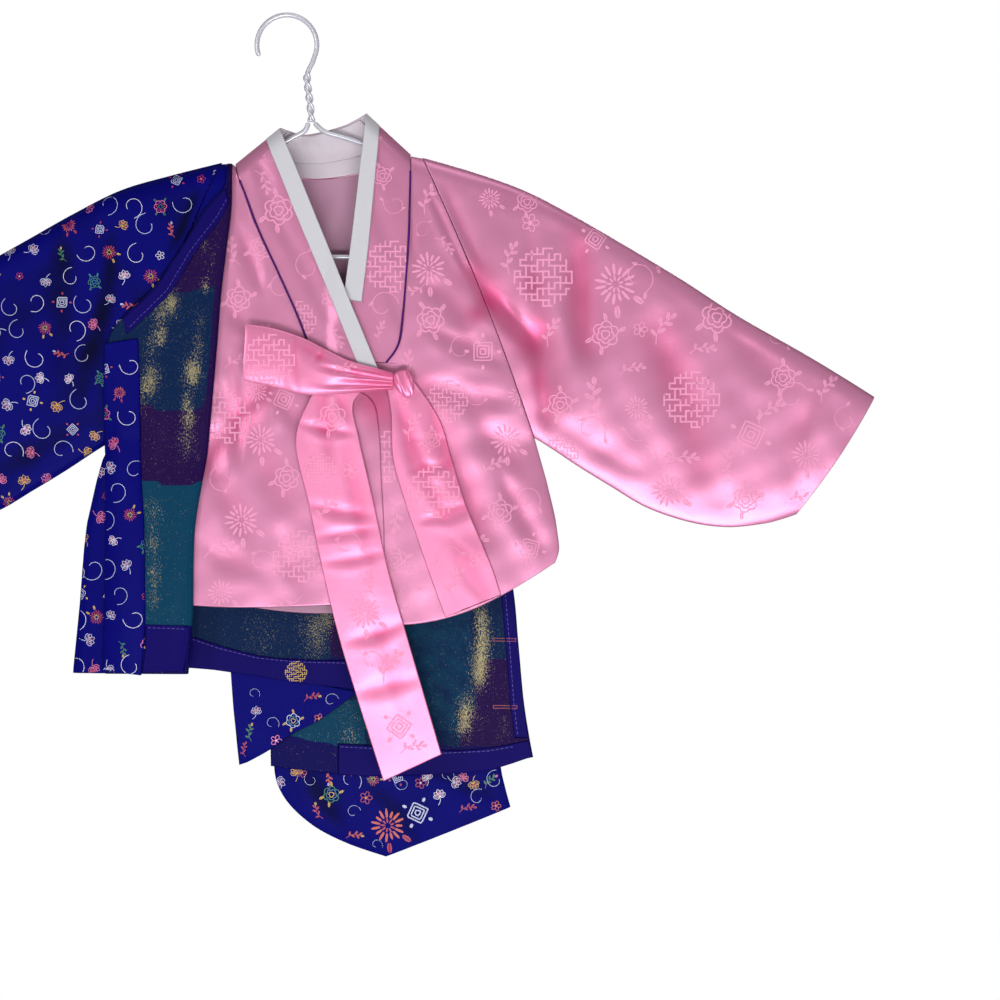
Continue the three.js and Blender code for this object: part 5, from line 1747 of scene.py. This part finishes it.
def fret(cloth, x, z, size, turn, colours):
    """A medallion of fret work: each run of marks in the chart is one thread."""
    cell = 2 * size / len(FRET_CHART)
    for grid, swap in ((FRET_CHART, False), (FRET_CHART.T, True)):
        for i, line in enumerate(grid):
            edges = np.flatnonzero(np.diff(np.concatenate([[0], line, [0]]).astype(int)))
            for start, end in zip(edges[::2], edges[1::2]):
                if end - start < 2:
                    continue
                across = (i + 0.5) * cell - size
                along = ((start + 0.15) * cell - size, (end - 0.15) * cell - size)
                ends = [(across, -a) if swap else (a, -across) for a in along]
                cloth.stroke(turned(ends, x, z, turn), cell * 0.66, colours[0])


def petal(inner, outer, width, angle, sides=5):
    """The outline of a petal from one radius to another."""
    share = np.linspace(0, np.pi, sides)
    along = inner + (outer - inner) * (1 - np.cos(share)) / 2
    half = width / 2 * np.sin(share) ** 0.7
    line = np.concatenate([np.stack([along, half], -1), np.stack([along, -half], -1)[-2:0:-1]])
    return turned(line, 0, 0, angle)


def mum(cloth, x, z, size, turn, colours):
    """A chrysanthemum seen from the front: two rings of narrow petals, and two leaves."""
    for ring, (count, inner, outer) in enumerate(((15, 0.42, 1.0), (9, 0.14, 0.46))):
        for k in range(count):
            angle = 2 * np.pi * k / count + ring * 0.3
            reach = outer * (1 if k % 3 else 0.86)
            width = 2 * np.pi * size * (inner + outer) / 2 / count * 0.5
            line = petal(size * inner, size * reach, width, angle)
            cloth.fill(turned(line, x, z, turn), colours[ring % len(colours)])
    for k in (-0.5, 0.4):
        root = turned([(size * math.cos(k - 1), size * math.sin(k - 1))], x, z, turn)[0]
        leaf(cloth, *root, size * 0.62, size * 0.3, turn + k - 1, colours[-1])


def peony(cloth, x, z, size, turn, colours):
    """A full flower drawn by scalloped rings."""
    for ring, (count, radius) in enumerate(((6, 0.8), (5, 0.52), (3, 0.26))):
        for k in range(count):
            start = 2 * np.pi * (k + 0.37 * ring) / count
            angle = np.linspace(start - 0.1, start + 2 * np.pi / count * 0.92, 6)
            reach = size * radius * (0.74 + 0.3 * np.sin(np.linspace(0.1, np.pi, 6)) ** 0.6)
            line = polar(reach, angle)
            cloth.stroke(turned(line, x, z, turn), size * 0.09, colours[ring % len(colours)])
    for k in (0.2, 1.5, 3.4, 4.4):
        root = turned([(size * 0.8 * math.cos(k), size * 0.8 * math.sin(k))], x, z, turn)[0]
        leaf(cloth, *root, size * 0.55, size * 0.26, turn + k + 0.3, colours[-1])


def leaf_shape(length, width):
    share = np.linspace(0, np.pi, 5)
    along, half = length * (1 - np.cos(share)) / 2, width / 2 * np.sin(share)
    return np.concatenate([np.stack([along, half], -1), np.stack([along, -half], -1)[-2:0:-1]])


def leaf(cloth, x, z, length, width, angle, colour):
    half = leaf_shape(length, width)
    upper, lower = half.copy(), half.copy()
    upper[:, 1] = np.maximum(upper[:, 1], width * 0.05)
    lower[:, 1] = np.minimum(lower[:, 1], -width * 0.05)
    cloth.fill(turned(upper, x, z, angle), colour)
    cloth.fill(turned(lower, x, z, angle), colour)


def sprig(cloth, x, z, size, turn, colours):
    """A bent stem with leaves in pairs and a bud."""
    share = np.linspace(0, 1, 9)
    stem = np.stack([size * (2 * share - 1), size * 0.35 * np.sin(np.pi * share)], -1)
    placed = turned(stem, x, z, turn)
    cloth.stroke(placed, size * 0.07, colours[0])
    for i, side in ((2, 1), (3, -1), (5, 1), (6, -1), (7, 1)):
        heading = math.atan2(*(placed[i + 1] - placed[i - 1])[::-1])
        leaf(cloth, *placed[i], size * 0.62, size * 0.26, heading + side * 0.85, colours[0])
    leaf(cloth, *placed[-1], size * 0.5, size * 0.3, turn - 0.3, colours[-1])


def spiral(x, z, size, turn, start, end, count, outer, shrink):
    """A curve that turns from one angle to another and closes in."""
    angle = np.linspace(start, end, count)
    reach = size * (outer - shrink * ease((angle - start) / (end - start)))
    return turned(polar(reach, angle), x, z, turn)


def scroll(cloth, x, z, size, turn, colours):
    """A tendril that curls in, with a small leaf where it starts."""
    line = spiral(x, z, size, turn, -0.5, 1.65 * np.pi, 22, 1.06, 0.7)
    cloth.stroke(line, size * 0.055, colours[0])
    leaf(cloth, *line[0], size * 0.5, size * 0.22, turn - 1.2, colours[0])
    leaf(cloth, *line[9], size * 0.45, size * 0.2, turn + 3.4, colours[-1])


def lozenge(cloth, x, z, size, turn, colours):
    """A lozenge of fret work with petals round it."""
    for reach in (1.0, 0.66, 0.3):
        corners = [(size * reach, 0), (0, size * reach), (-size * reach, 0), (0, -size * reach)]
        cloth.stroke(turned(corners, x, z, turn), size * 0.12, colours[0], closed=True)
    for k in range(4):
        tip = turned(petal(size * 1.08, size * 1.5, size * 0.28, k * np.pi / 2 + 0.78), x, z, turn)
        cloth.fill(tip, colours[-1])


def curl(cloth, x, z, size, turn, colours):
    """A thin open spiral."""
    line = spiral(x, z, size, turn, -0.4, 1.5 * np.pi, 20, 1.05, 0.68)
    cloth.stroke(line, size * 0.05, colours[0])


def lotus(cloth, x, z, size, turn, colours):
    """A flower from the side: petals fanned out, outlined and veined, over a short stem."""
    for k, reach in ((-1.05, 0.8), (-0.55, 0.95), (0, 1.05), (0.55, 0.95), (1.05, 0.8)):
        line = petal(size * 0.1, size * reach, size * 0.42, k + np.pi / 2, 5)
        cloth.stroke(turned(line, x, z, turn), size * 0.075, colours[0], closed=True)
        vein = [(size * part * math.sin(-k), size * part * math.cos(k))
                for part in (0.3, reach * 0.75)]
        cloth.stroke(turned(vein, x, z, turn), size * 0.12, colours[-1])
    stem = [(0, 0), (-size * 0.15, -size * 0.4), (-size * 0.5, -size * 0.7)]
    cloth.stroke(turned(stem, x, z, turn), size * 0.07, colours[0])


def blossom(cloth, x, z, size, turn, colours):
    """A small flower of five outlined petals."""
    for k in range(5):
        line = petal(size * 0.18, size, size * 0.62, k * 1.2566, 6)
        cloth.stroke(turned(line, x, z, turn), size * 0.13, colours[0], closed=True)
    cloth.fill(turned(petal(-size * 0.16, size * 0.16, size * 0.3, 0), x, z, turn), colours[-1])


def draw(cloth, colours, motif, x, z, size, degrees=0):
    motif(cloth, x, z, size, math.radians(degrees), colours)


# %% [markdown]
# The jacket's motifs are tone on tone. Each row gives the motif, its middle, its size and, where it
# has one, its turn in degrees.

# %% Damask of the jacket
PLAIN = ((1.0, 1.0, 1.0, 1.0),)
DAMASK_PLACES = {
    "collar_right": (
        (fret, 83.2, -200.4, 21), (scroll, 77.6, -232.4, 12, 40), (sprig, 76, -253.2, 7, 80),
        (scroll, 87.2, -150, 9, 200), (peony, 76.8, -128.4, 9, 20), (sprig, 69.6, -106, 8, 60),
    ),
    "collar_left": (
        (peony, -5.6, -155.6, 14, 10), (scroll, 18.4, -200.4, 11, 120), (fret, 8.8, -243.6, 16),
        (sprig, -20, -131.6, 9, 300), (blossom, 34.4, -226, 6), (scroll, -12, -114, 7, 30),
        (sprig, 38.4, -256.4, 8, 310),
    ),
    "jeogori_front_right": (
        (sprig, 114.4, -148.4, 11, 70), (mum, 113.6, -202, 14), (sprig, 124.8, -182.8, 8, 320),
        (peony, 115.2, -242.8, 13, 30), (sprig, 100, -280.4, 10, 100),
        (lozenge, 156.8, -267.6, 10, 45), (scroll, 140, -266, 11, 60), (fret, 128, -307.6, 17),
        (peony, 149.6, -178, 13), (sprig, 103.2, -216.4, 8, 200), (mum, 175.2, -338, 13),
        (sprig, 164, -362, 10, 40), (peony, 170.4, -395.6, 12), (scroll, 191.2, -386, 11),
        (sprig, 146.4, -422, 11, 20), (lozenge, 194.4, -424.4, 9, 30), (fret, 146.4, -466, 18),
        (scroll, 152.8, -302, 9, 200), (fret, 78.4, -351.6, 21), (sprig, 84, -395.6, 12, 280),
        (peony, 86.4, -434, 12), (scroll, 98.4, -466, 11, 80), (mum, 186.4, -302, 10),
        (scroll, 109.6, -171.6, 7, 90),
    ),
    "jeogori_front_left": (
        (fret, -48.8, -320.4, 21), (mum, -20, -338, 13), (mum, -35.2, -402, 14),
        (sprig, -53.6, -427.6, 12, 20), (peony, 0.8, -368.4, 12), (fret, 10.4, -430.8, 21),
        (sprig, -20, -262, 12, 70), (scroll, -3.2, -218, 12, 40), (peony, -37.6, -226, 12),
        (sprig, -39.2, -190, 10, 110), (lozenge, -1.6, -306, 9, 20), (scroll, -49.6, -370, 11, 150),
        (scroll, -20, -435.6, 11), (sprig, 2.4, -466, 11, 200), (mum, -52, -459.6, 11),
        (peony, -20, -186, 11), (scroll, 18.4, -330, 10, 10), (sprig, -39.2, -278, 10, 20),
        (lozenge, 42.4, -466, 9), (mum, -23.2, -299.6, 9),
    ),
    "sleeve_right_front": (
        (fret, 204.8, -208.4, 24), (peony, 192, -148.4, 10, 10), (blossom, 194.4, -165.2, 7),
        (sprig, 180, -195.6, 11, 80), (sprig, 212, -254, 10, 70), (mum, 262.4, -214, 17),
        (scroll, 279.2, -208.4, 13, 330), (peony, 254.4, -254, 13), (sprig, 300.8, -251.6, 12, 60),
        (sprig, 250.4, -307.6, 14, 110), (sprig, 274.4, -283.6, 9, 20), (mum, 279.2, -312.4, 10),
        (scroll, 282.4, -328.4, 11, 220), (fret, 323.2, -306, 23), (peony, 343.2, -240.4, 15, 10),
        (sprig, 330.4, -267.6, 9, 10), (lozenge, 370.4, -334, 12, 20), (sprig, 384.8, -318, 11, 40),
        (peony, 396, -288.4, 12), (scroll, 404, -304.4, 12, 60), (sprig, 314.4, -355.6, 11, 15),
        (scroll, 298.4, -346, 9, 200), (mum, 304.8, -378, 14), (sprig, 431.2, -299.6, 10, 60),
        (scroll, 446.4, -322, 10, 120), (mum, 414.4, -350, 12), (peony, 366.4, -386, 12),
        (scroll, 242.4, -330, 12), (peony, 218.4, -310, 12), (sprig, 288.8, -195.6, 9, 320),
        (scroll, 322.4, -202, 9, 150), (sprig, 354.4, -358, 10, 100), (lozenge, 246.4, -178, 9, 10),
        (sprig, 230.4, -158, 9, 340), (scroll, 391.2, -258, 9), (sprig, 410.4, -386, 9),
        (fret, 218.4, -350, 15), (blossom, 282.4, -250, 6), (mum, 162.4, -146, 9),
    ),
    "goreum_loop": (
        (fret, -12, -275.6, 21), (sprig, 46.4, -283.6, 8, 20),
    ),
    "goreum_tail_long": (
        (peony, 37.6, -320.4, 13), (sprig, 34.4, -395.6, 12, 60), (scroll, 48.8, -422, 11, 20),
        (mum, 63.2, -475.6, 13), (sprig, 69.6, -454, 9, 100), (sprig, 84, -520.4, 12, 60),
        (scroll, 68, -514, 9), (lozenge, 90.4, -566, 10, 10), (sprig, 100, -584.4, 9, 20),
        (fret, 28, -362, 13), (blossom, 52, -362, 7),
    ),
    "goreum_tail_short": (
        (sprig, 101.6, -330, 10, 70), (fret, 117.6, -379.6, 21), (scroll, 128.8, -434, 11, 60),
        (sprig, 135.2, -454, 11, 70), (sprig, 98.4, -307.6, 7, 100), (peony, 116, -338, 9),
        (blossom, 152.8, -434, 7),
    ),
}

for name, rows in DAMASK_PLACES.items():
    ribbon = name.startswith("goreum_")
    weaving = Weaving(name, rise=RIBBON_RISE if ribbon else THREAD_RISE)
    for row in rows:
        draw(weaving, PLAIN, *row)
    weaving.build("damask", RIBBON_DAMASK if ribbon else DAMASK)


def scatter(cloth, kinds, low, high, pitch, sizes, palette):
    """A half-drop repeat of motifs over a rectangle, each a little off its place."""
    chance = random.Random(cloth.name + "_cloth")
    rows = int((high[1] - low[1]) / pitch) + 1
    columns = int((high[0] - low[0]) / pitch) + 2
    for i in range(rows):
        for j in range(columns):
            x = low[0] + pitch * (j + 0.5 * (i % 2)) + chance.uniform(-0.16, 0.16) * pitch
            z = low[1] + pitch * i + chance.uniform(-0.16, 0.16) * pitch
            kind = kinds[(i * 3 + j * 2 + chance.randint(0, 1)) % len(kinds)]
            size = sizes[kind] * chance.uniform(0.88, 1.1)
            turn = chance.uniform(0, 360)
            draw(cloth, chance.choice(palette[kind]), kind, x, z, size, turn)


DAMASK_KINDS = (fret, scroll, peony, sprig, mum, sprig, lozenge, scroll)
DAMASK_PITCH = 46
DAMASK_SIZES = {fret: 21, scroll: 11, peony: 13, sprig: 11, mum: 13, lozenge: 9}
DAMASK_PALETTE = {kind: [PLAIN] for kind in DAMASK_SIZES}
for name, side, low, high in (
    ("jeogori_back", 1, (-170, -465), (230, -120)),
    ("sleeve_right_back", 1, (115, -400), (460, -120)),
    ("sleeve_left_back", 1, (-410, -400), (-55, -120)),
    ("sleeve_left_front", -1, (-410, -400), (-140, -170)),
):
    weaving = Weaving(name, side)
    scatter(weaving, DAMASK_KINDS, low, high, DAMASK_PITCH, DAMASK_SIZES, DAMASK_PALETTE)
    weaving.build("damask", DAMASK)
print("damask pieces:", sum(name.endswith("_damask") for name in PIECES))

# %% [markdown]
# The coat's motifs are woven in colours: silver curls, red, green and coral flowers, gold frets.
# Here a row starts with its colours.

# %% Brocade of the coat
SILVER, GOLD = linear(164, 168, 196), linear(178, 142, 62)
RED, CORAL, PINK = linear(146, 20, 58), linear(172, 66, 60), linear(186, 92, 138)
TEAL, GREEN, WHITE_SILK = linear(20, 104, 108), linear(34, 96, 60), linear(192, 190, 206)
BROCADE_KINDS = (curl, lotus, curl, lotus, sprig, peony, curl, lotus, mum,
                 curl, lozenge, blossom, lotus)
BROCADE_PITCH = 20
BROCADE_SIZES = {curl: 9, lotus: 6.6, blossom: 3.2, sprig: 5.5, mum: 5.5, lozenge: 5,
                 peony: 6}
BROCADE_PALETTE = {
    curl: [(SILVER,), (WHITE_SILK, SILVER), (SILVER, GOLD)],
    lotus: [(SILVER, RED), (WHITE_SILK, PINK), (PINK, RED), (SILVER, CORAL), (GOLD, RED)],
    blossom: [(RED, WHITE_SILK), (WHITE_SILK, RED), (RED, GOLD)],
    sprig: [(RED, GOLD), (GREEN, GOLD), (CORAL, SILVER)],
    mum: [(CORAL, RED), (RED, GOLD)],
    lozenge: [(SILVER, RED), (SILVER, GOLD)],
    peony: [(TEAL, GREEN, GREEN), (GREEN, TEAL, TEAL), (PINK, RED, GREEN)],
}
BROCADE_PLACES = (
    ((GREEN, TEAL, GOLD), peony, 34.4, -623.6, 8), ((CORAL, RED), mum, 80, -648.4, 14),
    ((SILVER,), lozenge, 104, -638, 9, 20), ((RED, GOLD), blossom, 62.4, -626, 5),
    ((SILVER,), curl, 52, -638, 6, 40), ((WHITE_SILK, PINK), lotus, 122.4, -626, 7, 20),
    ((PINK, RED), lotus, 140, -611.6, 6, 330), ((SILVER,), curl, 152.8, -626, 7, 90),
    ((SILVER,), curl, 127.2, -608.4, 6), ((RED,), sprig, 143.2, -635.6, 6, 20),
    ((RED, GOLD), sprig, 46.4, -606.8, 6), ((SILVER,), curl, 18.4, -611.6, 6, 150),
    ((RED, GOLD), sprig, 24.8, -638, 6, 120), ((RED, GOLD), blossom, 10.4, -606, 4),
    ((GREEN, GOLD), sprig, 68, -610, 6, 70), ((SILVER,), curl, 92, -614, 6, 200),
    ((RED, WHITE_SILK), blossom, 106.4, -614, 4.5), ((GREEN, PINK), sprig, 162.4, -614, 6, 50),
    ((CORAL, GOLD), blossom, 167.2, -632.4, 4), ((SILVER,), curl, 70.4, -664.4, 5),
    ((CORAL, GOLD), sprig, 52, -658, 6, 10),
)
FIGURE_PLACES = {
    "coat_flap": (
        ((SILVER, RED), lotus, -25.6, -558, 6), ((SILVER,), curl, -13.6, -566, 6),
        ((SILVER, TEAL, GOLD), peony, 4, -563.6, 7), ((RED, GOLD), sprig, 18.4, -546, 6, 20),
        ((SILVER,), curl, 34.4, -547.6, 6, 40), ((GREEN, GOLD), sprig, -29.6, -574, 6, 90),
        ((RED,), sprig, -34.4, -587.6, 5, 90), ((PINK, WHITE_SILK), blossom, -9.6, -579.6, 4.5),
        ((SILVER,), curl, 7.2, -582.8, 5), ((CORAL, GOLD), blossom, 24.8, -562, 4),
        ((RED, CORAL), sprig, 40.8, -555.6, 5), ((SILVER,), curl, -28, -542, 5),
    ),
    "coat_back": (
        ((GOLD,), fret, 4, -523.6, 8), ((RED, GOLD), sprig, 34.4, -520.4, 5, 30),
        ((RED, GOLD), blossom, -20, -522, 4),
    ),
    "coat_facing_hem_back": (((GOLD,), fret, 6.4, -524.5, 9),),
}

for name, side, low, high in (
    ("coat_sleeve_left_front", -1, (-410, -410), (-50, -125)),
    ("coat_sleeve_left_back", 1, (-410, -410), (-50, -125)),
    ("coat_back", 1, (-165, -540), (65, -130)),
    ("coat_front_right", 1, (-10, -610), (195, -270)),
    ("coat_sleeve_right_back", 1, (-10, -670), (180, -335)),
    ("coat_sleeve_right_front", -1, (-10, -610), (180, -560)),
    ("coat_front_edge", -1, (-142, -520), (-114, -265)),
    ("coat_front_left", -1, (-172, -520), (-148, -300)),
):
    weaving = Weaving(name, side)
    scatter(weaving, BROCADE_KINDS, low, high, BROCADE_PITCH, BROCADE_SIZES, BROCADE_PALETTE)
    for row in BROCADE_PLACES if name == "coat_sleeve_right_front" else ():
        draw(weaving, *row)
    weaving.build("brocade", THREAD)
for name, rows in FIGURE_PLACES.items():
    weaving = Weaving(name)
    for row in rows:
        draw(weaving, *row)
    weaving.build("figures", THREAD)
print("brocade pieces:", sum(name.endswith(("_brocade", "_figures")) for name in PIECES))

# %% [markdown]
# Facings are held by rows of small running stitches, and the coat's edge has two worked
# buttonholes.

# %% Stitches and buttonholes
LAVENDER, CRIMSON, PALE_THREAD = linear(60, 40, 134), linear(110, 5, 46), linear(206, 186, 198)
STITCH, STITCH_GAP, STITCH_WIDTH, LIP_WIDTH = 2.4, 1.4, 0.42, 0.7
SEAM_LINES = {
    "coat_facing_hem_back": [(-80, -496.6), (-55, -505.4), (-25, -513), (6, -516.2), (55, -517.4)],
    "coat_facing_hem_right": [(42, -584.6), (64, -585.8), (125, -589.6), (160, -587.8),
                              (184, -583.6)],
    "coat_facing_edge_right": [(174.4, -458), (178, -500), (181.2, -545), (184.6, -575)],
    "coat_facing_hem_left": [(-109, -487.4), (-95, -487.8), (-78.4, -488.4)],
    "coat_facing_neck": [(-46.4, -147.6), (-54, -161.4), (-75, -188), (-94, -219.6),
                         (-125.4, -250.4)],
    "neck_facing": [(-8, -108), (10, -111.6), (28, -112.8), (48, -110.4), (68, -105)],
}


def running_stitch(cloth, path, colour):
    """Short threads in a row along a line."""
    path = np.asarray(path, float)
    run = run_along(path)
    for start in np.arange(0, run[-1] - STITCH, STITCH + STITCH_GAP):
        cloth.stroke(points_at(path, run, (start, start + STITCH)), STITCH_WIDTH, colour)


def buttonhole(cloth, low_x, high_x, end_x, z):
    """Two worked lips, as far as they lie on this cloth, and the bar across them at `end_x`."""
    lips = [[(low_x, z + offset), (high_x, z + offset)] for offset in (-1.1, 1.1)]
    for line in (*lips, [(end_x, z - 1.5), (end_x, z + 1.5)]):
        cloth.stroke(line, LIP_WIDTH, CRIMSON)


HOLES = {  # height: the spans on the lining and on its edge facing
    -498.3: {"coat_front_right": (165, 174.4, 165), "coat_facing_edge_right": (175.6, 183, 183)},
    -552.3: {"coat_front_right": (165, 178.4, 165), "coat_facing_edge_right": (179.8, 184, 184)},
}
holed = {name for spans in HOLES.values() for name in spans}
for name in sorted({*SEAM_LINES, *holed}):
    weaving = Weaving(name)
    if name in SEAM_LINES:
        colour = LAVENDER if name.startswith("coat_") else PALE_THREAD
        running_stitch(weaving, SEAM_LINES[name], colour)
    for z, spans in HOLES.items():
        if name in spans:
            buttonhole(weaving, *spans[name], z)
    weaving.build("stitches", THREAD)
print("stitched pieces:", sum(name.endswith("_stitches") for name in PIECES))

# %% [markdown]
# ## Into the frame
# Every piece rides on the one body and stands for its CAD node.

# %% Pieces and nodes
for name, thing in PIECES.items():
    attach(thing, "root")
    if name.endswith(("_cloth", "_cord", "_wire")):
        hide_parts(name.rsplit("_", 1)[0])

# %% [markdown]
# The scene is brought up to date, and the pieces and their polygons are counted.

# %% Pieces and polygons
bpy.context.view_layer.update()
total = sum(len(thing.data.polygons) for thing in PIECES.values())
print("pieces:", len(PIECES), "polygons:", total)
